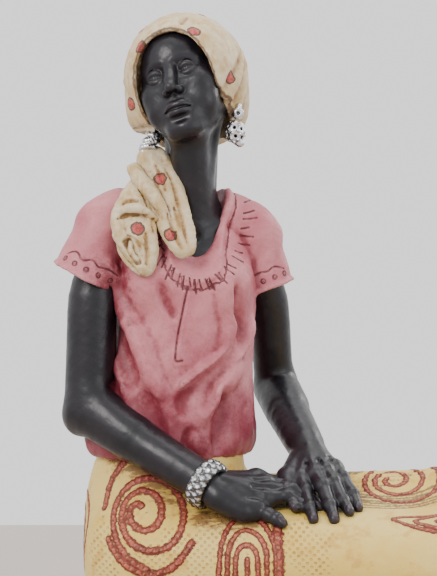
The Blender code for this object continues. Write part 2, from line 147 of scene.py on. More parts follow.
def bone(a, b, radius_a, radius_b=None, squash=None):
    """A round bar between two points; squash is an axis and how many times thinner the bar is along it."""
    a, b = np.asarray(a, float), np.asarray(b, float)
    radius_b = radius_a if radius_b is None else radius_b
    run = b - a
    length2 = max(run @ run, 1e-9)

    def distance(x, y, z):
        u, v, w = x - a[0], y - a[1], z - a[2]
        t = np.clip((u * run[0] + v * run[1] + w * run[2]) / length2, 0, 1)
        u, v, w = u - t * run[0], v - t * run[1], w - t * run[2]
        square = u * u + v * v + w * w
        if squash is not None:
            axis, times = squash
            along = u * axis[0] + v * axis[1] + w * axis[2]
            square = square + along * along * (times * times - 1)
        return np.sqrt(square) - (radius_a + t * (radius_b - radius_a))

    return Shape([a, b], max(radius_a, radius_b), distance)


def rounded(points, steps=6):
    """A smooth curve through the points (Catmull-Rom), with this many steps between each pair."""
    points = np.asarray(points, float)
    padded = np.vstack([2 * points[0] - points[1], points, 2 * points[-1] - points[-2]])
    t = np.linspace(0, 1, steps, endpoint=False)[:, None]
    curve = []
    for p0, p1, p2, p3 in zip(padded, padded[1:], padded[2:], padded[3:]):
        bend = 2 * p0 - 5 * p1 + 4 * p2 - p3
        curve.append(0.5 * (2 * p1 + (p2 - p0) * t + bend * t**2 + (3 * p1 - p0 - 3 * p2 + p3) * t**3))
    return np.vstack(curve + [points[-1:]])


def rope(points, radii, steps=4, squash=None):
    """Bones along a smooth curve, with a radius for each of its points."""
    line = rounded(points, steps)
    spread = np.interp(np.linspace(0, 1, len(line)), np.linspace(0, 1, len(radii)), radii)
    return [bone(a, b, ra, rb, squash) for a, b, ra, rb in zip(line, line[1:], spread, spread[1:])]


class Clay:
    """A block of clay on a grid: its value is the distance to the surface, and it is negative inside."""

    def __init__(self, low, high, step):
        self.step = step * COARSE
        self.low = np.asarray(low, float)
        self.shape = np.ceil((np.asarray(high) - self.low) / self.step).astype(int) + 1
        self.value = np.full(self.shape, FAR, np.float32)

    def blank(self):
        """Empty clay on the same grid."""
        other = Clay.__new__(Clay)
        other.step, other.low, other.shape = self.step, self.low, self.shape
        other.value = np.full(self.shape, FAR, np.float32)
        return other

    def grid(self, window):
        """The coordinates of a window of the grid, as arrays that broadcast."""
        axes = [self.low[i] + self.step * np.arange(s.start, s.stop) for i, s in enumerate(window)]
        return np.meshgrid(*[a.astype(np.float32) for a in axes], indexing="ij", sparse=True)

    def whole(self):
        return tuple(slice(0, n) for n in self.shape)

    def window(self, points, margin):
        points = np.array(points)
        start = np.floor((points.min(0) - margin - self.low) / self.step).astype(int)
        stop = np.ceil((points.max(0) + margin - self.low) / self.step).astype(int) + 1
        return tuple(slice(max(a, 0), max(min(b, n), 0)) for a, b, n in zip(start, stop, self.shape))

    def measure(self, shape, place, margin):
        """A shape's distances in the window round it; place is the matrix of the shape's own frame."""
        if place is None:
            window = self.window(shape.points, shape.reach + margin)
            if any(s.stop <= s.start for s in window):
                return window, None
            return window, shape.distance(*self.grid(window))
        scale = float(np.cbrt(np.linalg.det(place[:3, :3])))
        points = [place[:3, :3] @ p + place[:3, 3] for p in shape.points]
        window = self.window(points, shape.reach * scale + margin)
        if any(s.stop <= s.start for s in window):
            return window, None
        back = np.linalg.inv(place)
        x, y, z = self.grid(window)
        own = [back[i, 0] * x + back[i, 1] * y + back[i, 2] * z + back[i, 3] for i in range(3)]
        return window, shape.distance(*own) * scale

    def add(self, shapes, blend=0.0, place=None):
        for shape in shapes if isinstance(shapes, list) else [shapes]:
            window, other = self.measure(shape, place, 2 * blend + 3 * self.step)
            if other is not None:
                self.value[window] = smooth_min(self.value[window], other, blend)
        return self

    def cut(self, shapes, blend=0.0, place=None):
        for shape in shapes if isinstance(shapes, list) else [shapes]:
            window, other = self.measure(shape, place, 2 * blend + 3 * self.step)
            if other is not None:
                self.value[window] = -smooth_min(-self.value[window], other, blend)
        return self


def smooth_min(a, b, blend):
    """The smaller distance, with the corner between two surfaces filled in over the blend's width."""
    if blend <= 0:
        return np.minimum(a, b)
    near = np.maximum(blend - np.abs(a - b), 0) / blend
    return np.minimum(a, b) - near * near * blend / 4


CORNERS = [np.array((i, j, k)) for i in (0, 1) for j in (0, 1) for k in (0, 1)]
EDGES = [(a, b) for a in range(8) for b in range(a + 1, 8) if abs(CORNERS[a] - CORNERS[b]).sum() == 1]


def skin(clay):
    """The clay's surface: a point in each cell that it crosses, and a quad on each such grid edge."""
    value, inside = clay.value, clay.value < 0
    cells_shape = np.array(value.shape) - 1
    count = np.zeros(cells_shape, np.int8)
    for i, j, k in CORNERS:
        count += inside[i : i + cells_shape[0], j : j + cells_shape[1], k : k + cells_shape[2]]
    cells = np.argwhere((count > 0) & (count < 8))
    number = np.full(cells_shape, -1, np.int64)
    number[tuple(cells.T)] = np.arange(len(cells))
    at_corner = [value[tuple((cells + c).T)].astype(float) for c in CORNERS]
    total, hits = np.zeros((len(cells), 3)), np.zeros(len(cells))
    for a, b in EDGES:
        va, vb = at_corner[a], at_corner[b]
        crossed = (va < 0) != (vb < 0)
        share = np.where(crossed, va / np.where(crossed, va - vb, 1), 0)
        total += crossed[:, None] * (CORNERS[a] + share[:, None] * (CORNERS[b] - CORNERS[a]))
        hits += crossed
    points = clay.low + clay.step * (cells + total / hits[:, None])
    quads = []
    for axis in range(3):
        u, v = np.eye(3, dtype=int)[(axis + 1) % 3], np.eye(3, dtype=int)[(axis + 2) % 3]
        first = np.moveaxis(inside, axis, 0)
        edge = np.moveaxis(first[:-1] != first[1:], 0, axis)
        at = np.argwhere(edge)
        for other in ((axis + 1) % 3, (axis + 2) % 3):
            at = at[(at[:, other] > 0) & (at[:, other] < cells_shape[other])]
        ring = np.stack([number[tuple((at + o).T)] for o in (-u - v, -v, 0 * u, -u)], axis=1)
        outward = inside[tuple(at.T)]
        quads.append(np.where(outward[:, None], ring, ring[:, ::-1]))
    return points, np.vstack(quads)


def edges_of(quads):
    ends = np.concatenate([quads[:, [0, 1]], quads[:, [1, 2]], quads[:, [2, 3]], quads[:, [3, 0]]])
    ends = np.sort(ends, axis=1)
    return np.unique(ends, axis=0)


def largest(points, quads):
    """Only the body with the most points, without the crumbs that cuts leave."""
    a, b = edges_of(quads).T
    label = np.arange(len(points))
    while True:
        low = np.minimum(label[a], label[b])
        new = label.copy()
        np.minimum.at(new, a, low)
        np.minimum.at(new, b, low)
        new = new[new]
        if (new == label).all():
            break
        label = new
    names, counts = np.unique(label, return_counts=True)
    keep = label == names[counts.argmax()]
    renumber = np.cumsum(keep) - 1
    quads = quads[keep[quads[:, 0]]]
    return points[keep], renumber[quads]


def spread_ways(count):
    """Directions spread evenly over a sphere, along a golden-angle spiral."""
    golden = math.pi * (3 - math.sqrt(5))
    for i in range(count):
        z = 1 - 2 * (i + 0.5) / count
        r = math.sqrt(1 - z * z)
        yield np.array((r * math.cos(golden * i), r * math.sin(golden * i), z))


def averaged(values, ends, times, share=0.5):
    """Values at the points, moved towards their neighbours' mean some times over."""
    a, b = ends.T
    n = len(values)
    degree = np.maximum(np.bincount(a, minlength=n) + np.bincount(b, minlength=n), 1)
    values = values.copy()
    columns = values.reshape(n, -1)
    for _ in range(times):
        for c in range(columns.shape[1]):
            v = columns[:, c]
            total = np.bincount(a, v[b], n) + np.bincount(b, v[a], n)
            columns[:, c] += share * (total / degree - v)
    return columns.reshape(values.shape)


def normals_of(points, quads):
    p = points[quads]
    face = np.cross(p[:, 2] - p[:, 0], p[:, 3] - p[:, 1])
    total = np.zeros_like(points)
    for corner in range(4):
        for c in range(3):
            total[:, c] += np.bincount(quads[:, corner], face[:, c], len(points))
    return total / np.maximum(np.linalg.norm(total, axis=1, keepdims=True), 1e-12)


class Sculpt:
    """A skinned piece of clay: its points and quads, with tools that push its surface in and out."""

    def __init__(self, clay, relax=2):
        self.points, self.quads = largest(*skin(clay))
        self.ends = edges_of(self.quads)
        self.points = averaged(self.points, self.ends, relax)
        self.normals = normals_of(self.points, self.quads)
        self.step = clay.step
        self.fields = {}

    def push(self, height):
        """Moves each point along its normal by a height in millimetres."""
        self.points = self.points + self.normals * np.asarray(height)[:, None]
        self.normals = normals_of(self.points, self.quads)

    def relief(self, reach):
        """How far each point stands above the surface averaged over about this reach, in millimetres."""
        times = max(1, int((reach / self.step) ** 2))
        flat = averaged(self.points, self.ends, times)
        return ((self.points - flat) * self.normals).sum(axis=1)

    def build(self, name, slot, material, replaces=(), body="root"):
        """Makes the mesh object, with its fields as attributes, and puts it in the frame."""
        self.fields["crest"] = self.relief(1.2)
        self.fields["swell"] = self.relief(5.0)
        mesh = bpy.data.meshes.new(name)
        mesh.vertices.add(len(self.points))
        mesh.vertices.foreach_set("co", (self.points * MM).astype(np.float32).ravel())
        mesh.loops.add(self.quads.size)
        mesh.loops.foreach_set("vertex_index", self.quads.astype(np.int32).ravel())
        mesh.polygons.add(len(self.quads))
        mesh.polygons.foreach_set("loop_start", np.arange(0, self.quads.size, 4, dtype=np.int32))
        mesh.polygons.foreach_set("use_smooth", np.ones(len(self.quads), bool))
        mesh.update(calc_edges=True)
        mesh.validate()
        for field, values in self.fields.items():
            mesh.attributes.new(field, "FLOAT", "POINT").data.foreach_set("value", values.astype(np.float32))
        mesh.materials.append(material)
        obj = bpy.data.objects.new(name, mesh)
        bpy.context.scene.collection.objects.link(obj)
        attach(obj, body)
        if replaces:
            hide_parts(*replaces)
        return obj


def sampled(clay, points):
    """The clay's value at any points, between its grid's own."""
    cell = (np.asarray(points) - clay.low) / clay.step
    cell = np.clip(cell, 0, clay.shape - 1.001)
    base = cell.astype(int)
    part = cell - base
    total = np.zeros(cell.shape[:-1])
    for corner in CORNERS:
        weight = np.prod(np.where(corner, part, 1 - part), axis=-1)
        total += weight * clay.value[tuple(np.moveaxis(base + corner, -1, 0))]
    return total


def lifted(clay, points, direction=(0, 1, 0), sink=0.0, near=None, within=22.0):
    """Where rays through the points, from outside and along the direction, first meet the clay.

    With near, a point that lands further than within from it is left out.
    """
    points = np.asarray(points, float)
    direction = np.broadcast_to(np.asarray(direction, float), points.shape)
    direction = direction / np.linalg.norm(direction, axis=1, keepdims=True)
    travel = np.arange(-150, 150, 0.5)
    rays = points[:, None] + travel[None, :, None] * direction[:, None]
    high = clay.low + clay.step * (clay.shape - 1)
    value = np.where(((rays > clay.low) & (rays < high)).all(axis=2), sampled(clay, rays), FAR)
    first = (value < 0).argmax(axis=1)
    met = (value < 0).any(axis=1)
    rows = np.arange(len(points))
    before, after = value[rows, first - 1], value[rows, first]
    back = np.clip(after / np.where(met, after - before, 1), 0, 1) * 0.5
    hits = rays[rows, first] + (sink - back)[:, None] * direction
    if near is not None:
        met &= np.linalg.norm(hits - near, axis=1) < within
    return hits[met]


def calmed(line, times=3):
    """The line with small wobbles averaged out, and its ends kept."""
    line = np.array(line, float)
    for _ in range(times if len(line) > 4 else 0):
        line[1:-1] = 0.25 * line[:-2] + 0.5 * line[1:-1] + 0.25 * line[2:]
    return line


def unbroken(lines, gap=6.0):
    """The lines, each parted where two of its points lie far from each other."""
    for line in lines:
        line = np.asarray(line)
        breaks = np.flatnonzero(np.linalg.norm(np.diff(line, axis=0), axis=1) > gap) + 1
        yield from (part for part in np.split(line, breaks) if len(part) > 1)


def spaced(line, gap=0.5):
    """The line with its points evenly spread."""
    line = np.asarray(line, float)
    steps = np.linalg.norm(np.diff(line, axis=0), axis=1)
    along = np.concatenate([[0], np.cumsum(steps)])
    at = np.arange(0, along[-1], gap)
    return np.stack([np.interp(at, along, line[:, c]) for c in range(3)], axis=1)


def near_lines(points, normals, lines, reach=8.0):
    """For each point: how far the nearest line is, to which side, and how far along it that is."""
    line_points, tangents, alongs = [], [], []
    for line in unbroken(lines):
        line = spaced(calmed(line))
        if len(line) < 2:
            continue
        tangent = np.gradient(line, axis=0)
        tangent /= np.maximum(np.linalg.norm(tangent, axis=1, keepdims=True), 1e-9)
        line_points.append(line)
        tangents.append(tangent)
        alongs.append(0.5 * np.arange(len(line)))
    line_points, tangents, alongs = map(np.concatenate, (line_points, tangents, alongs))
    tree = KDTree(len(line_points))
    for i, p in enumerate(line_points):
        tree.insert(p, i)
    tree.balance()
    distance, across, along = np.full((3, len(points)), float(reach))
    low, high = line_points.min(axis=0) - reach, line_points.max(axis=0) + reach
    for i in np.flatnonzero(((points > low) & (points < high)).all(axis=1)):
        _, j, far = tree.find(points[i])
        if far < reach:
            away = points[i] - line_points[j]
            run = away @ tangents[j]
            side = np.cross(tangents[j], normals[i])
            held = min(max(run, -0.3), 0.3)
            distance[i] = np.linalg.norm(away - held * tangents[j])
            across[i] = away @ side
            along[i] = alongs[j] + run
    return distance, across, along


def near_dots(points, dots):
    """How far each point is from the nearest dot."""
    dots = np.asarray(dots)
    best = np.full(len(points), FAR)
    for dot in dots:
        best = np.minimum(best, np.linalg.norm(points - dot, axis=1))
    return best


def bump(distance, width):
    """A smooth hump of height 1 that ends at this distance."""
    return np.clip(1 - (distance / width) ** 2, 0, 1) ** 2


def waves(points, pitch, seed, roughness=0.5, octaves=3):
    """Smooth random heights, about -1 to 1, made of sines in seeded directions."""
    rng = np.random.default_rng(seed)
    total, size = np.zeros(len(points)), 0.0
    for octave in range(octaves):
        weight = roughness**octave
        for _ in range(5):
            way = rng.normal(size=3)
            way *= 2 * math.pi / (pitch / 2**octave) / np.linalg.norm(way)
            total += weight * np.sin(points @ way + rng.uniform(0, 2 * math.pi))
        size += weight * 2.2
    return total / size


# ---------------------------------------------------------------- paint


class Look:
    """A Principled material put together in small steps; lengths in it are in millimetres."""

    def __init__(self, name, **inputs):
        self.material = bpy.data.materials.new(name)
        self.material.use_nodes = True
        self.tree = self.material.node_tree
        self.shader = self.tree.nodes["Principled BSDF"]
        for key, value in inputs.items():
            self.shader.inputs[key.replace("_", " ")].default_value = value
        self.place = self.node("ShaderNodeTexCoord").outputs["Object"]

    def node(self, kind, inputs=(), **settings):
        made = self.tree.nodes.new(kind)
        for key, value in settings.items():
            setattr(made, key, value)
        for key, value in dict(inputs).items():
            self.feed(made.inputs[key], value)
        return made

    def feed(self, socket, value):
        if isinstance(value, bpy.types.NodeSocket):
            self.tree.links.new(value, socket)
        elif isinstance(value, tuple) and len(value) == 3 and socket.type == "RGBA":
            socket.default_value = (*value, 1)
        else:
            socket.default_value = value

    def field(self, name):
        return self.node("ShaderNodeAttribute", attribute_name=name).outputs["Fac"]

    def noise(self, size, detail=3.0, roughness=0.5, place=None, distortion=0.0):
        inputs = {"Vector": place or self.place, "Scale": 1000 / size, "Detail": detail}
        inputs |= {"Roughness": roughness, "Distortion": distortion}
        return self.node("ShaderNodeTexNoise", inputs).outputs["Fac"]

    def turned(self, turn=(0, 0, 0), scale=(1, 1, 1)):
        inputs = {"Vector": self.place, "Rotation": tuple(map(math.radians, turn)), "Scale": scale}
        return self.node("ShaderNodeMapping", inputs).outputs["Vector"]

    def sum(self, operation, a, b=0.0, c=0.0):
        made = self.node("ShaderNodeMath", {0: a, 1: b, 2: c}, operation=operation)
        return made.outputs[0]

    def ramp(self, value, start, end, low=0.0, high=1.0):
        """Smoothly from low, where the value is start, to high, where it is end."""
        inputs = {"Value": value, "From Min": start, "From Max": end, "To Min": low, "To Max": high}
        made = self.node("ShaderNodeMapRange", inputs, interpolation_type="SMOOTHSTEP")
        return made.outputs["Result"]

    def blend(self, share, a, b, kind="MIX"):
        made = self.node("ShaderNodeMix", data_type="RGBA", blend_type=kind)
        for key, value in zip((0, 6, 7), (share, a, b)):
            self.feed(made.inputs[key], value)
        return made.outputs[2]

    def wavy(self, name, noise, swing, low=0.3, high=0.7):
        """A field, with up to swing added or taken away as the noise goes."""
        return self.sum("ADD", self.field(name), self.ramp(noise, low, high, -swing, swing))

    def wash(self, tint, strength, share, colour):
        """The tint with a colour over it, by a share times a strength."""
        return self.blend(self.sum("MULTIPLY", share, strength), tint, colour)

    def squares(self, a, b):
        """The sum of two values' squares."""
        return self.sum("ADD", self.sum("MULTIPLY", a, a), self.sum("MULTIPLY", b, b))

    def stripe(self, value, start, end):
        """A line where the value passes 0: it fades in from start to end, on both sides."""
        return self.ramp(self.sum("ABSOLUTE", value), start, end)

    def finish(self, colour, roughness, *bumps):
        """Joins colour, roughness and bumps; each bump is a height socket and its depth in millimetres."""
        self.feed(self.shader.inputs["Base Color"], colour)
        self.feed(self.shader.inputs["Roughness"], roughness)
        normal = None
        for height, depth in bumps:
            inputs = {"Height": height, "Distance": depth * MM}
            if normal is not None:
                inputs["Normal"] = normal
            normal = self.node("ShaderNodeBump", inputs).outputs["Normal"]
        if normal is not None:
            self.feed(self.shader.inputs["Normal"], normal)
        return self.material


MESH_PITCH_X, MESH_PITCH_Z = 3.6, 3.2  # of the skirt's pressed mesh
BAND_DOT_PITCH = 3.0  # of the dots along the skirt's bands
OCHRE = (0.64, 0.43, 0.085)
OCHRE_DEEP = (0.50, 0.25, 0.030)
OCHRE_PALE = (0.68, 0.50, 0.15)
BAND_RED = (0.17, 0.010, 0.010)
BAND_PINK = (0.36, 0.055, 0.040)
# Brown of the painted shade and shadow on the skirt.
SHADE_BROWN = (0.09, 0.035, 0.018)


def skin_look():
    look = Look("skin_painted", Specular_IOR_Level=0.36, Coat_Weight=0.08, Coat_Roughness=0.22)
    patches = look.noise(14, 4, 0.6)
    fine = look.noise(1.1, 3, 0.6)
    tint = look.blend(look.ramp(patches, 0.35, 0.65), (0.0040, 0.0038, 0.0062), (0.0085, 0.0065, 0.0105))
    # Painted highlight: paler where the skin stands up in crests. Painted shade: darker in its hollows.
    tint = look.wash(tint, 0.5, look.ramp(look.field("crest"), 0.03, 0.16), (0.030, 0.026, 0.032))
    tint = look.wash(tint, 0.7, look.ramp(look.field("swell"), -0.1, -0.9), (0.004, 0.0035, 0.004))
    tint = look.blend(look.ramp(look.field("nail"), 0.45, 0.55), tint, (0.026, 0.017, 0.022))
    roughness = look.ramp(look.noise(6, 3), 0.3, 0.7, 0.34, 0.46)
    return look.finish(tint, roughness, (look.noise(3.2, 3), 0.10), (fine, 0.03))


def blouse_look():
    look = Look("blouse_painted", Specular_IOR_Level=0.4)
    broad = look.noise(22, 4, 0.6)
    fine = look.noise(1.4, 4, 0.65)
    tint = look.blend(look.ramp(broad, 0.3, 0.7), (0.40, 0.105, 0.130), (0.52, 0.185, 0.205))
    low = look.node("ShaderNodeSeparateXYZ", {0: look.place}).outputs["Z"]
    low = look.sum("ADD", low, look.ramp(broad, 0.3, 0.7, -12 * MM, 12 * MM))
    shade = look.ramp(low, (SPINE[2] + 66) * MM, (SPINE[2] + 6) * MM)
    shade = look.sum("MULTIPLY", shade, look.ramp(broad, 0.3, 0.6, 1.0, 0.55))
    tint = look.wash(tint, 0.85, shade, (0.20, 0.018, 0.036))
    # Painted shade: darker in the cloth's hollows and fine creases. Painted highlight: paler on its crests.
    deep = look.ramp(look.wavy("swell", fine, 0.2, 0, 1), -0.05, -0.85)
    tint = look.blend(deep, tint, (0.17, 0.012, 0.024))
    deep = look.ramp(look.field("crest"), -0.03, -0.25)
    tint = look.wash(tint, 0.8, deep, (0.17, 0.028, 0.035))
    crest_highlight = look.ramp(look.field("crest"), 0.02, 0.20)
    tint = look.wash(tint, 0.6, crest_highlight, (0.60, 0.30, 0.30))
    # Painted shadow of the arms on the blouse, and painted shade in its broad hollows.
    arm_shadow = look.wavy("arm", look.noise(5, 5, 0.7), 5.0)
    tint = look.blend(look.ramp(arm_shadow, 25.0, 14.0, 0.0, 0.8), tint, (0.15, 0.012, 0.024))
    hollow = look.ramp(look.wavy("hollow", broad, 0.5, 0, 1), -0.2, -2.4)
    tint = look.wash(tint, 0.65, hollow, (0.20, 0.018, 0.030))
    thin = look.stripe(look.field("ink_across"), 0.58, 0.24)
    ink = look.sum("MULTIPLY", thin, look.ramp(look.field("ink"), 1.0, 0.7))
    collar = look.wavy("collar", look.noise(3, 3), 0.35)
    ink = look.sum("MAXIMUM", ink, look.stripe(collar, 0.42, 0.16))
    ring = look.stripe(look.sum("SUBTRACT", look.field("ink_dot"), 1.1), 0.55, 0.2)
    core = look.ramp(look.field("ink_dot"), 0.6, 0.3, 0.0, 0.7)
    ink = look.sum("MAXIMUM", ink, look.sum("MAXIMUM", ring, core))
    ink = look.sum("MULTIPLY", ink, look.ramp(look.noise(2.4, 3), 0.3, 0.6, 0.5, 1.0))
    tint = look.wash(tint, 0.95, ink, (0.07, 0.006, 0.010))
    specks = look.ramp(look.noise(0.9, 2, 0.7), 0.56, 0.70)
    specks = look.sum("MULTIPLY", specks, look.sum("MULTIPLY_ADD", shade, 0.5, 0.25))
    tint = look.blend(specks, tint, (0.13, 0.012, 0.022))
    roughness = look.ramp(look.noise(5, 3), 0.3, 0.7, 0.42, 0.58)
    return look.finish(tint, roughness, (look.noise(4, 4), 0.22), (fine, 0.10), (ink, -0.35))


def scarf_look():
    look = Look("scarf_painted", Specular_IOR_Level=0.35)
    broad = look.noise(9, 4, 0.6)
    fine = look.noise(0.9, 3, 0.7)
    tint = look.blend(look.ramp(broad, 0.35, 0.65), (0.50, 0.38, 0.21), (0.59, 0.49, 0.33))
    streak = look.noise(5, 4, 0.7, look.turned((0, 0, 0), (1, 1, 0.45)))
    tint = look.blend(look.ramp(streak, 0.46, 0.66, 0.0, 0.75), tint, (0.43, 0.27, 0.09))
    # Painted shade: darker in the hollows and in the fine creases.
    wash = look.ramp(look.wavy("swell", fine, 0.15, 0, 1), 0.0, -0.7)
    tint = look.wash(tint, 0.9, wash, (0.25, 0.13, 0.045))
    wash = look.ramp(look.wavy("crest", fine, 0.03), -0.05, -0.22)
    tint = look.wash(tint, 0.85, wash, (0.10, 0.045, 0.02))
    specks = look.ramp(fine, 0.60, 0.74)
    tint = look.wash(tint, 0.35, specks, (0.40, 0.24, 0.09))
    # Painted shade along the fold grooves: a broad tan band and a narrow dark line.
    crease = look.wavy("crease", look.noise(2.2, 3), 0.35)
    tint = look.blend(look.ramp(crease, 1.9, 0.3, 0.0, 0.45), tint, (0.36, 0.19, 0.05))
    tint = look.blend(look.ramp(crease, 0.75, 0.2, 0.0, 0.85), tint, (0.085, 0.032, 0.014))
    dot = look.wavy("dot", look.noise(1.6, 2), 0.25)
    ring = look.stripe(look.sum("SUBTRACT", dot, 2.95), 0.65, 0.25)
    fill = look.blend(look.ramp(look.noise(1.5, 3), 0.4, 0.6), (0.30, 0.022, 0.024), (0.44, 0.070, 0.062))
    tint = look.wash(tint, 0.95, look.ramp(dot, 2.7, 2.35), fill)
    tint = look.wash(tint, 0.9, ring, (0.055, 0.012, 0.008))
    trim = look.wavy("trim", look.noise(2.5, 3), 0.25)
    trim = look.stripe(trim, 0.75, 0.25)
    tint = look.wash(tint, 0.8, trim, (0.08, 0.028, 0.014))
    roughness = look.ramp(look.noise(4, 3), 0.3, 0.7, 0.5, 0.66)
    bumps = [(look.noise(3, 3), 0.15), (fine, 0.10), (ring, -0.25), (trim, -0.2)]
    return look.finish(tint, roughness, *bumps)


def skirt_look():
    look = Look("skirt_painted", Specular_IOR_Level=0.35)
    broad = look.noise(26, 4, 0.55)
    fine = look.noise(0.8, 3, 0.7)
    tint = look.blend(look.ramp(broad, 0.35, 0.65), OCHRE, OCHRE_PALE)
    tint = look.blend(look.ramp(look.noise(9, 4, 0.6), 0.52, 0.70, 0.0, 0.55), tint, OCHRE_DEEP)
    tint = look.blend(look.ramp(look.noise(0.7, 2, 0.7), 0.58, 0.72, 0.0, 0.4), tint, OCHRE_DEEP)
    # Pressed mesh: pits in a diagonal lattice, in patches, with painted shade in the pits.
    lattice = look.turned((0, 6, 0))
    parts = look.node("ShaderNodeSeparateXYZ", {0: lattice})
    u = look.sum("MULTIPLY", parts.outputs["X"], math.tau / (MESH_PITCH_X * MM))
    v = look.sum("MULTIPLY", parts.outputs["Z"], math.tau / (MESH_PITCH_Z * MM))
    knots = look.sum("MULTIPLY", look.sum("SINE", u), look.sum("SINE", v))
    pits = look.ramp(knots, 0.25, 0.8)
    patches = look.ramp(look.wavy("mesh", look.noise(12, 3), 0.3), 0.35, 0.8)
    pits = look.sum("MULTIPLY", pits, patches)
    tint = look.wash(tint, 0.5, pits, OCHRE_DEEP)
    strong = look.sum("MULTIPLY", pits, look.ramp(look.noise(8, 2), 0.5, 0.66))
    tint = look.wash(tint, 0.6, strong, (0.30, 0.17, 0.05))
    # Painted shade where the cloth folds and along its fold grooves, and painted shadow round what lies on
    # it: under the hands and forearms and under the blouse's hem.
    wash = look.ramp(look.wavy("swell", fine, 0.2, 0, 1), -0.1, -1.2)
    tint = look.wash(tint, 0.8, wash, (0.22, 0.09, 0.03))
    streaks = look.noise(2.6, 4, 0.7, look.turned((0, -8, -12), (0.30, 1, 1)))
    shadow_reach = look.wavy("contact_shadow", streaks, 3.6)
    tint = look.blend(look.ramp(shadow_reach, 3.0, -2.5, 0.0, 0.6), tint, (0.24, 0.095, 0.03))
    tint = look.blend(look.ramp(shadow_reach, -0.5, -3.2, 0.0, 0.6), tint, SHADE_BROWN)
    fold = look.wavy("fold", look.noise(1.2, 2, 0.6), 0.5)
    tint = look.blend(look.ramp(fold, 1.5, 0.4, 0.0, 0.8), tint, SHADE_BROWN)
    # Bands: a dark edge on both sides, a red to pink middle and slanted dark dots.
    band = look.wavy("band", look.noise(2.0, 3, 0.6), 0.3)
    inside = look.ramp(band, 1.35, 1.10)
    fill = look.blend(look.ramp(look.noise(2.6, 3), 0.4, 0.62), BAND_RED, BAND_PINK)
    tint = look.wash(tint, 0.92, inside, fill)
    edge = look.stripe(look.sum("SUBTRACT", band, 1.08), 0.50, 0.20)
    edge_ink = look.sum("MULTIPLY", edge, look.ramp(look.noise(3.0, 2), 0.3, 0.6, 0.55, 1.0))
    tint = look.blend(edge_ink, tint, (0.13, 0.014, 0.010))
    step = look.sum("FRACT", look.sum("DIVIDE", look.field("along"), BAND_DOT_PITCH))
    run = look.sum("MULTIPLY", look.sum("SUBTRACT", step, 0.5), BAND_DOT_PITCH)
    across = look.field("across")
    slant = look.sum("ADD", run, look.sum("MULTIPLY", across, 0.35))
    dots = look.squares(look.sum("DIVIDE", slant, 0.42), look.sum("DIVIDE", across, 0.50))
    dots = look.ramp(dots, 1.2, 0.6)
    light = look.squares(look.sum("ADD", slant, -0.75), across)
    light = look.sum("MULTIPLY", look.ramp(light, 0.26, 0.10), inside)
    tint = look.wash(tint, 0.28, light, (0.62, 0.30, 0.20))
    dots = look.sum("MULTIPLY", dots, look.ramp(look.noise(7, 2), 0.35, 0.5, 0.35, 1.0))
    tint = look.wash(tint, 0.55, dots, (0.075, 0.016, 0.014))
    groove = look.sum("SUBTRACT", look.sum("MULTIPLY", inside, 0.4), edge)
    roughness = look.ramp(look.noise(4, 3), 0.3, 0.7, 0.46, 0.62)
    bumps = [(look.noise(3.5, 4), 0.2), (fine, 0.10), (pits, -0.35), (groove, 0.30), (dots, -0.12)]
    return look.finish(tint, roughness, *bumps)


def silver_look(name, dark=0.06):
    look = Look(name, Metallic=1.0)
    recess = look.ramp(look.wavy("crest", look.noise(1.0, 2), 0.05, 0, 1), 0.02, -0.12)
    tint = look.blend(look.ramp(look.noise(2.0, 3), 0.35, 0.65), (0.50, 0.50, 0.52), (0.70, 0.70, 0.73))
    tint = look.wash(tint, 0.92, recess, (dark, dark, dark * 1.05))
    roughness = look.ramp(look.noise(1.6, 3), 0.3, 0.7, 0.20, 0.40)
    return look.finish(tint, roughness, (look.noise(0.8, 3), 0.10))


def felt_look():
    look = Look("felt_fibres", Sheen_Weight=0.4, Sheen_Roughness=0.6, Specular_IOR_Level=0.1)
    tint = look.blend(look.noise(0.6, 4, 0.8), (0.010, 0.010, 0.011), (0.035, 0.034, 0.036))
    roughness = look.ramp(look.noise(2, 2), 0.3, 0.7, 0.88, 1.0)
    return look.finish(tint, roughness, (look.noise(0.4, 4, 0.8), 0.15))


def board_look():
    look = Look("base_board_grain", Specular_IOR_Level=0.25)
    grain = look.noise(2.2, 5, 0.7, look.turned(scale=(0.12, 1, 1)), 0.6)
    tint = look.blend(look.ramp(grain, 0.3, 0.7), (0.16, 0.095, 0.05), (0.30, 0.20, 0.115))
    tint = look.blend(look.ramp(look.noise(20, 3), 0.5, 0.7, 0, 0.5), tint, (0.11, 0.07, 0.04))
    return look.finish(tint, look.ramp(grain, 0.3, 0.7, 0.8, 0.95), (grain, 0.15))


def steel_look():
    look = Look("pin_steel_brushed", Metallic=1.0)
    turning = look.noise(0.5, 4, 0.7, look.turned(scale=(1, 1, 0.06)))
    tint = look.blend(turning, (0.42, 0.43, 0.44), (0.60, 0.61, 0.62))
    tint = look.blend(look.ramp(look.noise(3, 3), 0.58, 0.70, 0, 0.6), tint, (0.22, 0.15, 0.10))
    return look.finish(tint, look.ramp(turning, 0.3, 0.7, 0.22, 0.42), (turning, 0.02))


# ---------------------------------------------------------------- shapes of the figure


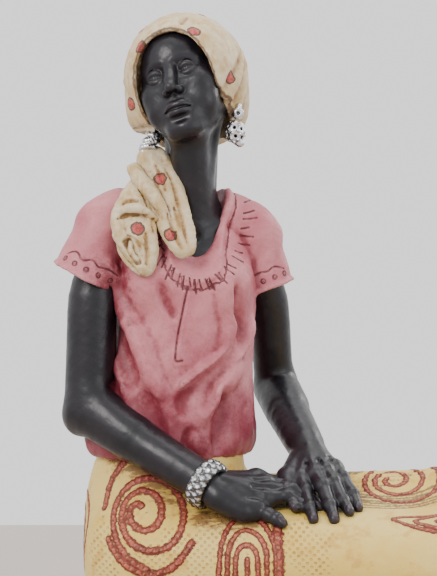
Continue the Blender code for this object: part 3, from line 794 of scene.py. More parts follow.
def loft(sections, turn=0.0):
    """A body through elliptical sections, from low to high: a height, a centre (x, y) and two radii each."""
    sections = np.array(sections, float)
    cos, sin = math.cos(turn), math.sin(turn)
    heights = np.linspace(sections[0, 0], sections[-1, 0], 200)
    # A smooth curve through the sections, so that the sides have no kinks.
    curve = rounded(sections, 12)
    smooth = [np.interp(heights, curve[:, 0], curve[:, c]) for c in range(1, 5)]

    def distance(x, y, z):
        cx, cy, rx, ry = [np.interp(z, heights, s).astype(np.float32) for s in smooth]
        u, v = x - cx, y - cy
        u, v = u * cos + v * sin, v * cos - u * sin
        near = np.sqrt((u / rx) ** 2 + (v / ry) ** 2)
        slope = np.sqrt((u / rx**2) ** 2 + (v / ry**2) ** 2)
        side = near * (near - 1) / np.maximum(slope, 1e-6)
        cap = np.maximum(z - sections[-1, 0], sections[0, 0] - z)
        return np.maximum(side, cap)

    middle = sections[:, 1:3].mean(axis=0)
    ends = [(*middle, sections[0, 0]), (*middle, sections[-1, 0])]
    return Shape([np.array(p) for p in ends], sections[:, 3:].max() + 12, distance)


def draped(a, b, radius_a, radius_b):
    """A bar with cloth over it that hangs straight down to the ground."""
    a, b = np.asarray(a, float), np.asarray(b, float)
    run = b - a
    length2 = run[0] ** 2 + run[1] ** 2

    def distance(x, y, z):
        u, v = x - a[0], y - a[1]
        t = np.clip((u * run[0] + v * run[1]) / length2, 0, 1)
        u, v, w = u - t * run[0], v - t * run[1], np.maximum(z - (a[2] + t * run[2]), 0)
        flare = 0.03 * np.maximum(a[2] + t * run[2] - z, 0)
        return np.sqrt(u * u + v * v + w * w) - (radius_a + t * (radius_b - radius_a)) - flare

    feet = [offset((p[0], p[1], 0)) for p in (a, b)]
    return Shape([a, b, *feet], max(radius_a, radius_b) + 2, distance)


def below(height):
    """Everything under a level."""
    return Shape([np.zeros(3)], 1e3, lambda x, y, z: z - height + 0 * x + 0 * y)


def above(height):
    return Shape([np.zeros(3)], 1e3, lambda x, y, z: height - z + 0 * x + 0 * y)


# ---------------------------------------------------------------- patterns of the skirt


def spiral(start, growth, turns, phase=0.0, drift=(0.0, 0.0), squash=1.0, steps=40):
    """A flat spiral about 0: its radius grows by growth each turn, and its centre drifts."""
    t = np.linspace(0, turns, int(turns * steps))
    radius = start + growth * t
    angle = 2 * math.pi * t + math.radians(phase)
    across, up = radius * np.cos(angle) + drift[0] * t, squash * radius * np.sin(angle) + drift[1] * t
    return np.stack([across, up], axis=1)


def arch(half_width, height, lean=0.0, steps=60):
    """A round-topped arch that stands on 0 with its legs a little apart, and its top leaning sideways."""
    a = np.linspace(math.pi, 0, steps)
    rise = min(1.35 * half_width, height)
    x, z = half_width * np.cos(a), height - rise + rise * np.sin(a)
    legs = np.linspace(0, 1, 20)[:, None]
    left = np.hstack([-half_width * 1.12 + 0.12 * half_width * legs, (height - rise) * legs])
    right = left[::-1] * (-1, 1)
    line = np.vstack([left[:-1], np.stack([x, z], axis=1), right[1:]])
    return line + np.outer(line[:, 1] / height, (lean, 0))


def on_front(origin, flat):
    """Flat points set up in front of an origin, with their second coordinate as height."""
    return np.stack([origin[0] + flat[:, 0], np.full(len(flat), origin[1]), origin[2] + flat[:, 1]], axis=1)


HIP_SECTIONS = [
    (-4, -14, -4, 31, 50.5),
    (14, -14, -4, 30.4, 50),
    (28, -14, -4, 31.0, 48.5),
    (41, -14, -4, 33.0, 45.5),
    (55, -13.5, -3, 35.0, 40.5),
    (68, -11, -1, 36.0, 35.5),
    (77, -8.5, 0.5, 36.2, 31.5),
    (84, -7, 1, 35.0, 28.0),
    (92, -7, 1, 31.0, 24.0),
]
FAR_SPIRAL = offset(mix(LEFT_HIP, LEFT_KNEE, 0.765), y=-16, z=24)  # over the spiral on the far thigh
FAR_SLOPE = np.array((0, 0.55, 0.84))  # the way up the far thigh's slope
FAR_WAY_IN = (0, 0.84, -0.55)


def skirt_clay():
    """The skirt's clay, and the lines of the folds over its lap."""
    low, high = corners("skirt_casting")
    clay = Clay(low - 5, high + (4, 4, -6), GRID["skirt"])
    clay.add(loft(HIP_SECTIONS))
    right, left = (RIGHT_HIP, RIGHT_KNEE, RIGHT_ANKLE), (LEFT_HIP, LEFT_KNEE, LEFT_ANKLE)
    for (hip, knee, ankle), thigh in ((right, 31.0), (left, 30.0)):
        clay.add(draped(hip, knee, thigh, 22.0), 12)
        clay.add(draped(knee, ankle, 22.0, 15.5), 10)
    # The lap's cloth hangs between the thighs, and between the shins.
    clay.add(draped(mix(RIGHT_HIP, LEFT_HIP, 0.5), mix(RIGHT_KNEE, LEFT_KNEE, 0.5), 27, 18), 16)
    clay.add(draped(mix(RIGHT_KNEE, LEFT_KNEE, 0.5), mix(RIGHT_ANKLE, LEFT_ANKLE, 0.5), 18, 12), 12)
    # Folds from the waist over the lap and round the far thigh.
    lap = offset(mix(LEFT_HIP, LEFT_KNEE, 0.28), y=-8)
    folds = []
    for i in range(5):
        start = offset(lap, x=-6 + 2 * i, y=-18 + 5 * i, z=60)
        end = offset(mix(LEFT_HIP, LEFT_KNEE, 0.72 + 0.05 * i), y=-20 + 4.5 * i, z=60)
        middle = offset(mix(start, end, 0.5), y=-2.0 + 0.8 * i)
        folds.append(lifted(clay, rounded([start, middle, end], 30), (0, 0, -1)))
    for line in folds:
        clay.cut(rope(line[::6], [0.5, 1.1, 1.0, 0.4], 2), 2.2)
    # Long soft folds down the near side, and at the hem.
    rng = np.random.default_rng(11)
    for side, direction in ((-1, (0, 1, 0)), (1, (0, -1, 0))):
        for i in range(7):
            x = RIGHT_KNEE[0] + 10 + 15 * i + rng.uniform(-4, 4)
            top = (x - 14, side * 100, 40 - 3.0 * i + rng.uniform(-4, 4))
            line = lifted(clay, rounded([top, (x, side * 100, 22), (x + 5, side * 100, 4)], 8), direction)
            if len(line) > 6:
                clay.cut(rope(line[::3], [0.4, 1.6, 2.4], 2), 6)
    # The hem: an open end round the ankles, with a rolled edge.
    shins_end = mix(RIGHT_ANKLE, LEFT_ANKLE, 0.5)
    for ankle in (RIGHT_ANKLE, LEFT_ANKLE):
        mouth = offset(ankle, x=18)
        clay.cut(bone(offset(ankle, x=2), mouth, 9.5, 12.5), 1.5)
    clay.cut(bone(offset(shins_end, x=10), offset(shins_end, x=22), 7, 9), 4)
    clay.cut(below(GROUND))
    clay.cut(above(high[2] - 2.0))
    return clay, folds


def front_bands(clay):
    """The bands on her near side: the arches, the two broad ones of the hip's spiral and the ringed one."""
    near_hip = offset(RIGHT_HIP, x=-7.2, y=-120, z=27.3)
    broad_bands = [lifted(clay, on_front(near_hip, spiral(2.6, 7.2, 2.55, 62, (3.2, -1.6))))]
    edge = spiral(20.5, 3.0, 0.62, 112, (0, 0), 1.25)
    broad_bands.append(lifted(clay, on_front(offset(near_hip, x=5), edge)))
    # Nested arches on the near thigh, which share a straight band at their right.
    thigh = offset(mix(RIGHT_HIP, RIGHT_KNEE, 0.305), y=-120, z=-28)
    flats = [arch(*sizes) for sizes in ((12.6, 53.5, 1.0), (8.8, 48.0, 0.6), (5.0, 42.0, 0.2))]
    flats.append(np.stack([np.linspace(0, 0.5, 30), np.linspace(4, 36, 30)], axis=1))
    bands = [lifted(clay, on_front(thigh, flat)) for flat in flats]
    straight = np.stack([np.linspace(15.4, 14.0, 60), np.linspace(2, 51, 60)], axis=1)
    return bands, broad_bands, [lifted(clay, on_front(thigh, straight))]


def lap_bands(clay):
    """The spiral on top of the far thigh, and the nested chevrons between the knees."""
    flat = spiral(2.6, 6.3, 2.9, 150, (1.4, -0.4))
    top = FAR_SPIRAL + flat[:, :1] * (1, 0, 0) + flat[:, 1:] * FAR_SLOPE
    bands = [lifted(clay, top, FAR_WAY_IN)]
    tip = offset(mix(RIGHT_HIP, RIGHT_KNEE, 0.775), y=-60, z=100)
    for i in range(4):
        x = 9.5 * i
        flat = [(30, 13 - 0.4 * i), (14 + 0.7 * x, 7.0), (x, 0), (11 + 0.7 * x, -7.5), (30, -15 + 0.6 * i)]
        line = np.array([(tip[0] + u, tip[1] + 36 + v - 0.4 * u, tip[2]) for u, v in flat])
        bands.append(lifted(clay, rounded(line, 12), (0, 0.25, -0.97)))
    return bands


def outlying_bands(clay):
    """The same ornament where it hangs over the shins, and round the side away from her front."""
    bands = []
    for share, scale in ((0.30, 0.9), (0.74, 0.7)):
        shin = offset(mix(RIGHT_KNEE, RIGHT_ANKLE, share), y=-60, z=-10)
        bands.append(lifted(clay, on_front(shin, scale * spiral(2.6, 6.2, 2.4, 20 + 90 * share, (1.5, 0.5)))))
    for share, scale, centre in ((0.10, 1.0, -6), (0.55, 0.95, -12), (0.95, 0.9, -14), (1.45, 0.8, -8)):
        side = mix(LEFT_HIP, LEFT_KNEE, share) if share < 1 else mix(LEFT_KNEE, LEFT_ANKLE, share - 1)
        flat = scale * spiral(2.8, 7.0, 2.6, 200 * share, (-2.5, 0.8))
        bands.append(lifted(clay, on_front(offset(side, y=120, z=centre), flat), (0, -1, 0)))
    for share in (0.42, 0.80):
        middle = offset(mix(LEFT_KNEE, LEFT_ANKLE, share), z=90)
        flat = 0.8 * spiral(2.6, 5.4, 2.2, 300 * share, (0.6, 0.2))
        top = np.stack([middle[0] + flat[:, 0], middle[1] + flat[:, 1], np.full(len(flat), 90.0)], axis=1)
        bands.append(lifted(clay, top, (0, 0, -1)))
    back = offset(mix(RIGHT_HIP, LEFT_HIP, 0.5), x=-120, z=12)
    flat = spiral(3.0, 7.4, 2.7, 40, (0.5, -1.0))
    rear = np.stack([np.full(len(flat), back[0]), back[1] + flat[:, 0], back[2] + flat[:, 1]], axis=1)
    bands.append(lifted(clay, rear, (1, 0, 0)))
    return bands


def make_skirt():
    clay, folds = skirt_clay()
    body = Sculpt(clay, relax=2)
    points, normals = body.points, body.normals
    bands, broad_bands, ringed = front_bands(clay)
    bands += lap_bands(clay) + outlying_bands(clay)
    distance, across, along = near_lines(points, normals, bands)
    # The broad and the ringed bands are wider, so their distances are made shorter.
    for lines, thinner, closer in ((broad_bands, 0.72, 0.9), (ringed, 0.52, 0.65)):
        wide, side, run = near_lines(points, normals, lines)
        nearer = thinner * wide < distance
        distance = np.minimum(distance, thinner * wide)
        across, along = np.where(nearer, thinner * side, across), np.where(nearer, closer * run, along)
    swirls = []
    for i in range(6):
        turn = np.radians(np.linspace(95 - 9 * i, 320 + 6 * i, 70))[:, None]
        ring = (23.5 + 3.1 * i) * np.cos(turn) * (1, 0, 0) + (12.5 + 2.1 * i) * np.sin(turn) * FAR_SLOPE
        swirls.append(lifted(clay, FAR_SPIRAL + ring + (1.5 * math.sin(2.3 * i), 0, 0), FAR_WAY_IN))
    fold_distance = near_lines(points, normals, [line[4:-4] for line in folds] + swirls, 5)[0]
    rise = 0.30 * bump(distance, 1.6) + 0.10 * waves(points, 9, 5) - 0.22 * bump(fold_distance, 1.1)
    hem = bump(np.abs(points[:, 0] - points[:, 0].max()), 3.4)
    body.push(rise + 0.8 * hem)

    # Where the painted shadow falls on the skirt: near the hands and forearms that lie on it, and at the
    # waist under the blouse.
    hand = mix(RIGHT_WRIST, LEFT_WRIST, 0.55)
    hand_lines = [[offset(RIGHT_WRIST, x=-4, z=-14), offset(RIGHT_WRIST, x=22, y=-9, z=-16)],
                  [offset(hand, x=6, y=-14, z=-14), offset(LEFT_WRIST, x=4, y=-25, z=-24),
                   offset(LEFT_WRIST, x=22, y=-20, z=-20)],
                  [offset(RIGHT_ELBOW, x=14, z=-22), offset(RIGHT_WRIST, x=-14, y=4, z=-8)]]
    contact_shadow = near_lines(points, normals, [spaced(line, 2.0) for line in hand_lines], 14)[0]
    waist = np.abs(points[:, 2] - SPINE[2]) + 2
    near_waist = np.hypot((points[:, 0] - SPINE[0]) / 44, (points[:, 1] - SPINE[1]) / 34) < 1.25
    contact_shadow = np.minimum(contact_shadow - 5, np.where(near_waist, waist - 1, FAR))
    mesh_spots = [lifted(clay, [offset(RIGHT_HIP, x=x, y=-120, z=z)], (0, 1, 0)) for x, z in
                  ((12, 13), (22, 8), (29, 23), (37, 19), (-25, 12), (-24, 2), (66, 20), (72, 12), (3, 4))]
    patch = near_dots(points, np.vstack(mesh_spots)) + 3.0 * waves(points, 18, 9)
    body.fields |= {"band": distance, "across": across, "along": along, "fold": fold_distance,
                    "contact_shadow": contact_shadow, "mesh": np.clip(1.5 - patch / 11, 0, 1)}
    return body.build("skirt_cloth", "skirt_paint", skirt_look(), ["skirt_casting"])


# ---------------------------------------------------------------- blouse

TORSO_SECTIONS = [
    (78, -7, 1, 36, 27),
    (86, -7, 1, 41, 31),
    (93, -7, 1, 42.5, 32),
    (105, -6, 1, 40.5, 31),
    (122, -4, 1, 37.5, 30),
    (140, -2, 1, 36, 29),
    (158, 0, 1, 35, 28),
    (172, 0, 2, 34, 26),
    (184, 0, 3, 33, 22),
    (194, 1, 4, 26, 17),
    (200, 1, 5, 20, 13),
]


def torso_shapes(thinner=0.0):
    base = np.array(TORSO_SECTIONS, float)
    base[:, 0] += SPINE[2] - 85.3
    base[:, 3:] -= thinner
    bust = [ball(offset(SPINE, x=x, y=y, z=82), 14.5 - thinner) for x, y in ((-9, -17), (21, -10))]
    return loft(base, TORSO_TURN), bust


def neckline():
    """The tunnel that the neck comes out of: wide at her back and low at her breast."""
    front = offset(NECK_BASE, x=5.4, y=-37, z=4.0)
    back = offset(NECK_BASE, x=0.5, y=15, z=34)
    return bone(front, back, 18.0, 16.6, ((0, 0, 1), 0.57))


def sleeve(shoulder, side):
    """The sleeve's cone and its hem plane (normal and level, kept above)."""
    if side < 0:
        top, hem = offset(shoulder, x=-0.5, y=2, z=0.5), offset(shoulder, x=-9.0, y=-3, z=-21.0)
        return [bone(top, hem, 13.2, 15.2)], (np.array((0.45, 0, 0.89)), hem)
    top, hem = offset(shoulder, x=0.2, y=0, z=0), offset(shoulder, x=5.4, y=2.5, z=-24.0)
    return [bone(top, hem, 12.0, 13.8)], (np.array((-0.33, 0, 0.944)), hem)


def around(centre, axis, start, end, count, rise=0.0, far=40.0):
    """Points on a circle about an axis, and the way to its middle; rise lifts each point along the axis."""
    axis = np.asarray(axis) / np.linalg.norm(axis)
    first = np.cross(axis, (0, 1, 0))
    first /= np.linalg.norm(first)
    second = np.cross(axis, first)
    angle = np.radians(np.linspace(start, end, count))[:, None]
    outward = np.cos(angle) * first + np.sin(angle) * second
    rise = np.broadcast_to(rise, count)[:, None]
    return centre + far * outward + rise * axis, -outward


def on_chest(pairs):
    """Points in front of her chest, from how far they are to her left of the spine and above the hem."""
    return [(SPINE[0] - 0.4 + x, -90, SPINE[2] + z) for x, z in pairs]


def blouse_clay():
    """The blouse's clay with its sleeves, and each sleeve's hem plane."""
    low, high = corners("torso_casting")
    clay = Clay(low - (9, 6, 6), high + (6, 6, 6), GRID["blouse"])
    body, bust = torso_shapes()
    clay.add(body)
    clay.add(bust, 9)
    yoke = [offset(RIGHT_SHOULDER, x=-2, y=3, z=4.5), offset(RIGHT_SHOULDER, x=12, y=9, z=10),
            offset(NECK_BASE, x=-14, y=-1, z=5.5), offset(NECK_BASE, y=8, z=7),
            offset(NECK_BASE, x=15, y=3, z=3.0),
            offset(LEFT_SHOULDER, x=-4.5, y=-1, z=7.5), offset(LEFT_SHOULDER, x=3, z=0.5)]
    clay.add(rope(yoke, [10.2, 9.4, 8.8, 8.4, 8.6, 8.8, 9.5], 4), 6)
    hems = []
    for shoulder, side in ((RIGHT_SHOULDER, -1), (LEFT_SHOULDER, 1)):
        cone, (normal, hem) = sleeve(shoulder, side)
        normal = normal / np.linalg.norm(normal)
        cloth = clay.blank()
        cloth.add(cone)
        x, y, z = cloth.grid(cloth.whole())
        plane = normal[0] * x + normal[1] * y + normal[2] * z - normal @ hem
        rim = np.hypot(cloth.value, plane) - 1.05
        flat = np.maximum(cloth.value, -plane)
        cloth.value = smooth_min(flat, rim, 0.8)
        clay.value = smooth_min(clay.value, cloth.value, 4.0 if side < 0 else 3.0)
        hems.append((normal, hem))
    return clay, hems


def fold_blouse(clay):
    """The ridges and creases of the front, and soft folds round her back and sides."""
    ridges = [
        ([(-31, 90.5), (-26.5, 77.5), (-20.6, 64), (-14, 49), (-9.5, 36), (-3.8, 27.5)], 2.0),
        ([(24, 84), (25.5, 72), (26.5, 60), (24, 48)], 1.2),
        ([(37, 62), (33, 54), (27, 47.5), (18, 42), (10.5, 36), (4, 31)], 1.9),
        ([(31, 41), (24, 33), (18, 26), (13, 14)], 1.5),
    ]
    for pairs, radius in ridges:
        line = lifted(clay, rounded(on_chest(pairs), 5), sink=0.5)
        clay.add(rope(line[::2], [0.6, radius, radius, 0.5], 2), 6)
    creases = [
        ([(34, 54.5), (29.4, 47), (21.8, 39.3), (12.8, 33.2), (4.8, 26.1), (6.7, 19.4)], 1.9, 5.5),
        ([(18, 33), (14.2, 20.6)], 1.2, 5),
        ([(-29, 70), (-27, 56), (-22, 43), (-17.5, 30)], 1.7, 6.5),
        ([(-36, 62), (-35, 48), (-31, 34), (-26, 22)], 1.5, 6),
        ([(-5.6, 82), (-3.2, 75), (-0.2, 66)], 1.3, 4),
        ([(31, 80), (31, 66), (34.5, 50)], 1.5, 5),
        ([(-14, 30), (-8, 16), (-5, 2)], 1.3, 6),
        ([(26, 30), (22, 15), (21, 2)], 1.3, 6),
        ([(-30, 22), (-27, 10), (-26, 1)], 1.2, 5),
        ([(8, 12), (7, 5), (9, 0)], 1.0, 4),
    ]
    for pairs, radius, soft in creases:
        line = lifted(clay, rounded(on_chest(pairs), 5), sink=-0.2)
        clay.cut(rope(line[::2], [0.1, 0.55 * radius, 0.85 * radius, 0.6 * radius, 0.1], 2), soft)
    # From under the shoulders to the hem.
    rng = np.random.default_rng(4)
    for angle in np.arange(190, 350, 21):
        turn = math.radians(angle + rng.uniform(-5, 5))
        outward = np.array((math.cos(turn), -math.sin(turn), 0))
        lean = rng.uniform(-7, 7)
        heights = np.array((SPINE[2] + rng.uniform(48, 84), SPINE[2] + 34, SPINE[2] + 6))
        start = [SPINE + 80 * outward + (lean * i, 0, h - SPINE[2]) for i, h in enumerate(heights)]
        line = lifted(clay, rounded(start, 8), -outward, sink=0.2)
        clay.cut(rope(line[::3], [0.3, 1.6, 1.9, 0.4], 2), 7)


def open_blouse(clay):
    """Cuts the neckline with its rolled edge, and room for the arms and for the skirt's waist."""
    hole = neckline().distance(*clay.grid(clay.whole()))
    rim = np.hypot(clay.value + 0.3, hole - 1.0) - 1.55
    clay.value = np.maximum(clay.value, -hole)
    clay.value = smooth_min(clay.value, rim, 0.7)
    for shoulder, elbow, wide in ((RIGHT_SHOULDER, RIGHT_ELBOW, 12.9), (LEFT_SHOULDER, LEFT_ELBOW, 10.8)):
        start = offset(shoulder, x=-4 if wide > 12 else 3, z=-19)
        clay.cut(bone(start, mix(start, elbow, 0.55), wide, wide), 0.8)
    clay.cut(loft([(60, -7, 1, 33, 24), (SPINE[2] + 5, -7, 1, 33, 24)], TORSO_TURN), 1.0)
    clay.cut(below(SPINE[2] - 2.5), 2.0)
    return hole


def gather_lines(clay):
    """Short gathers all round the neckline."""
    gathers = []
    for angle in np.linspace(-186, 8, 31):
        a = math.radians(angle + 1.2 * math.sin(5.3 * angle))
        reach = 2.6 + 3.4 * abs(math.sin(3.7 * angle))
        ray = [(21.6 + reach * s, 35.2 + reach * s) for s in (0.1, 0.6, 1.0)]
        turned = [(u * math.cos(a + 0.02 * i), v * math.sin(a + 0.02 * i)) for i, (u, v) in enumerate(ray)]
        flat = [(NECK_BASE[0] + 5.2 + x, -90, NECK_BASE[2] + 6.5 + z) for x, z in turned]
        gathers.append(lifted(clay, rounded(flat, 5)))
    return gathers


def sleeve_trim(clay, hems):
    """A scalloped line and a row of rings round each sleeve."""
    ink_lines, ink_dots = [], []
    for (normal, hem), side in zip(hems, (-1, 1)):
        span = (40, 320) if side < 0 else (-140, 140)
        count = 90
        swing = np.linspace(0, 1, count)
        scallop = 7.0 + 1.9 * np.abs(np.sin(swing * math.pi * 8)) + 0.5 * np.sin(swing * 37)
        rays, inward = around(hem, normal, *span, count, scallop)
        ink_lines.append(lifted(clay, rays, inward, near=hem))
        rays, inward = around(hem, normal, *span, 12, 4.0)
        ink_dots.append(lifted(clay, rays, inward, near=hem))
    return ink_lines, np.vstack(ink_dots)


def make_blouse():
    clay, hems = blouse_clay()
    fold_blouse(clay)
    hole = open_blouse(clay)
    piece = Sculpt(clay, relax=2)
    points, normals = piece.points, piece.normals
    seam = [(7.0, 79.4), (4.2, 66.3), (2.3, 57), (1.2, 47.6), (1.6, 45), (4.4, 45.2)]
    seam = lifted(clay, rounded(on_chest(seam), 8))
    ink_lines, ink_dots = sleeve_trim(clay, hems)
    gather_distance, gather_across, _ = near_lines(points, normals, gather_lines(clay), 3)
    seam_distance, seam_across, _ = near_lines(points, normals, [seam], 4)
    ink_distance, ink_across, _ = near_lines(points, normals, ink_lines, 3)
    dot_distance = near_dots(points, ink_dots)
    pleats = np.clip((SPINE[2] + 16 - points[:, 2]) / 14, 0, 1)
    angle = np.arctan2(points[:, 1] - SPINE[1], points[:, 0] - SPINE[0])
    pleats = pleats * (0.30 * np.sin(19 * angle + 1.5 * np.sin(5 * angle)) + 0.15 * np.sin(37 * angle))
    height = 0.26 * waves(points, 11, 21) - 0.30 * bump(gather_distance, 0.9)
    height -= 0.40 * bump(seam_distance, 1.0)
    height += 0.20 * bump(seam_distance - 1.7, 1.2) - 0.22 * bump(ink_distance, 0.9) + pleats
    height += 0.15 * bump(dot_distance, 1.6)
    piece.push(height)
    nearest = np.stack([gather_distance, seam_distance, ink_distance]).argmin(axis=0)
    piece.fields["ink"] = np.choose(nearest, [gather_distance, seam_distance, ink_distance])
    piece.fields["ink_across"] = np.choose(nearest, [gather_across, seam_across, ink_across])
    piece.fields["ink_dot"] = dot_distance
    opening = clay.blank()
    opening.value = hole
    collar = sampled(opening, points) - 4.2
    piece.fields["collar"] = collar
    piece.push(0.35 * bump(collar + 2.2, 2.4) - 0.25 * bump(collar, 1.1))
    # Broad hollows, for the painted shade, and how far each point is from the arms, for their painted shadow.
    piece.fields["hollow"] = piece.relief(9.0)
    arms = [spaced([RIGHT_ELBOW, RIGHT_WRIST], 2.0), spaced([LEFT_ELBOW, LEFT_WRIST], 2.0),
            spaced([offset(RIGHT_SHOULDER, z=-30), RIGHT_ELBOW], 2.0)]
    piece.fields["arm"] = near_lines(points, normals, arms, 30.0)[0]
    return piece.build("blouse", "blouse_paint", blouse_look(), ["torso_casting"])


# ---------------------------------------------------------------- skin


class Finger(namedtuple("Finger", "joints radii back")):
    """A finger or toe: its joints from knuckle to tip, its radii there, and the way its back faces."""

    def shapes(self):
        joints = [np.asarray(j, float) for j in self.joints]
        bones = [bone(a, b, ra, rb) for a, b, ra, rb in zip(joints, joints[1:], self.radii, self.radii[1:])]
        # A little more flesh at each joint.
        bones += [ball(j, 1.06 * r) for j, r in zip(joints[1:-1], self.radii[1:-1])]
        return bones


def nail_fields(points, normals, fingers):
    """How much each point lies in a nail (1 in it), and the nail's relief in millimetres."""
    nail, height = np.zeros((2, len(points)))
    for finger in fingers:
        tip, before = np.asarray(finger.joints[-1], float), np.asarray(finger.joints[-2], float)
        run = (tip - before) / np.linalg.norm(tip - before)
        back = np.asarray(finger.back, float)
        back = back - (back @ run) * run
        back /= np.linalg.norm(back)
        side = np.cross(run, back)
        radius = finger.radii[-1]
        away = points - (tip + 0.15 * radius * run)
        u, v, w = away @ run, away @ side, away @ back
        inside = np.sqrt((u / (1.05 * radius)) ** 2 + (v / (0.72 * radius)) ** 2)
        facing = (normals @ back > 0.15) & (w > 0) & (inside < 2)
        inside = np.where(facing, inside, 2)
        nail = np.maximum(nail, np.clip((1.08 - inside) / 0.16, 0, 1))
        height += 0.08 * (inside < 1) - 0.16 * bump(inside - 1.12, 0.26)
        # The creases over the last joint.
        for shift in (-0.5, 0.0, 0.5):
            crease = np.abs((points - before) @ run - shift * radius)
            near = np.linalg.norm(points - before, axis=1) < 1.7 * radius
            height -= 0.10 * bump(crease, 0.4) * near * (normals @ back > 0.2)
    return nail, height


def skin_piece(clay, name, replaces, fingers=(), relax=2, dress=None):
    piece = Sculpt(clay, relax=relax)
    nail, height = nail_fields(piece.points, piece.normals, fingers)
    piece.push(height + 0.06 * waves(piece.points, 7, 31))
    piece.fields["nail"] = nail
    if dress:
        dress(piece)
    return piece.build(name, "skin_paint", SKIN_LOOK, replaces)


def add_fingers(clay, wrist, knuckles, joints, radii, back):
    """Four fingers from their knuckles, with the other joints given from the wrist."""
    fingers = []
    for knuckle, places, sizes in zip(knuckles, joints, radii):
        fingers.append(Finger([knuckle] + offsets(wrist, *places), sizes, back))
        clay.add(fingers[-1].shapes(), 1.3)
    return fingers


def make_right_arm():
    low, high = corners("right_arm_casting")
    clay = Clay(low - (4, 9, 6), high + (8, 4, 4), GRID["arm"])
    s, e, w = RIGHT_SHOULDER, RIGHT_ELBOW, RIGHT_WRIST
    upper = [offset(s, x=-1, z=-13), offset(mix(s, e, 0.38), x=-2.0, y=-1)]
    upper += [offset(mix(s, e, 0.72), x=-0.4), e]
    clay.add(rope(upper, [9.6, 11.8, 12.0, 11.2], 4))
    clay.add(rope([e, mix(e, w, 0.33), mix(e, w, 0.7), w], [10.8, 10.4, 8.9, 7.9], 4), 3)
    clay.add(ball(offset(e, x=-3.4, y=3.5, z=-5.0), 7.6), 5)
    clay.add(bone(offset(e, x=4, y=-3, z=6), offset(mix(e, w, 0.35), y=-1, z=1.5), 7.6, 7.8), 6)
    clay.cut(bone(offset(e, x=12.6, y=-6, z=12.0), offset(e, x=11.4, y=4, z=11.0), 0.9), 4)
    # The hand: heel, palm and the bones of its back.
    knuckles = offsets(w, (26, 6.5, -0.4), (26.5, 1.6, -2.4), (25, -3, -5.6), (21.2, -7.0, -9.6))
    across = knuckles[3] - knuckles[0]
    normal = np.cross(across, knuckles[1] - w)
    normal /= np.linalg.norm(normal)
    flat = (normal, 1.35)
    clay.add(bone(offset(w, x=-3), offset(w, x=5, z=-1), 7.6, 8.2, flat), 3)
    for knuckle, radius in zip(knuckles, (6.0, 6.0, 5.8, 5.4)):
        clay.add(bone(offset(w, x=4, z=-1), knuckle - 1.2 * normal, 7.6, radius, flat), 3)
    clay.add(bone(offset(w, x=5, y=-4.5, z=-5), offset(w, x=15, y=-8, z=-10.3), 6.6, 5.4), 4)
    backs = normal if normal[2] > 0 else -normal
    for knuckle in knuckles:
        start = offset(w, x=6) + 4.4 * backs
        clay.add(bone(start, knuckle + 2.6 * backs, 1.0, 1.3), 2.6)
        clay.add(ball(knuckle + 0.9 * backs, 4.0), 2.0)
    for a, b in zip(knuckles, knuckles[1:]):
        between = mix(a, b, 0.5)
        clay.cut(bone(between + 5.6 * backs, between + 5.0 * backs - (6, 0, 0), 0.9, 0.3), 2.4)
    joints = [
        [(37, 8.5, -1.4), (46, 6, -5), (50, 3, -8)],
        [(38, 2.8, -2.6), (46.5, 0, -7), (51, -3, -10)],
        [(35.5, -2.0, -4.6), (43.5, -4.0, -8.5), (47, -6.5, -11)],
        [(27.0, -10.8, -11.6), (30.6, -13.6, -13.0), (33.2, -15.6, -14.6)],
    ]
    radii = [(3.9, 3.4, 3.1, 2.7), (3.9, 3.4, 3.1, 2.7), (3.7, 3.2, 2.9, 2.6), (3.6, 3.1, 2.9, 2.5)]
    fingers = add_fingers(clay, w, knuckles, joints, radii, backs)
    thumb = Finger(offsets(w, (10, 6, 1), (22, 12, 1), (33, 14, -1.5), (40, 13, -3)),
                   [5.4, 4.6, 3.6, 3.0], (0, 0.3, 1))
    clay.add(thumb.shapes(), 2.5)
    return skin_piece(clay, "right_arm_and_hand", ["right_arm_casting"], fingers)


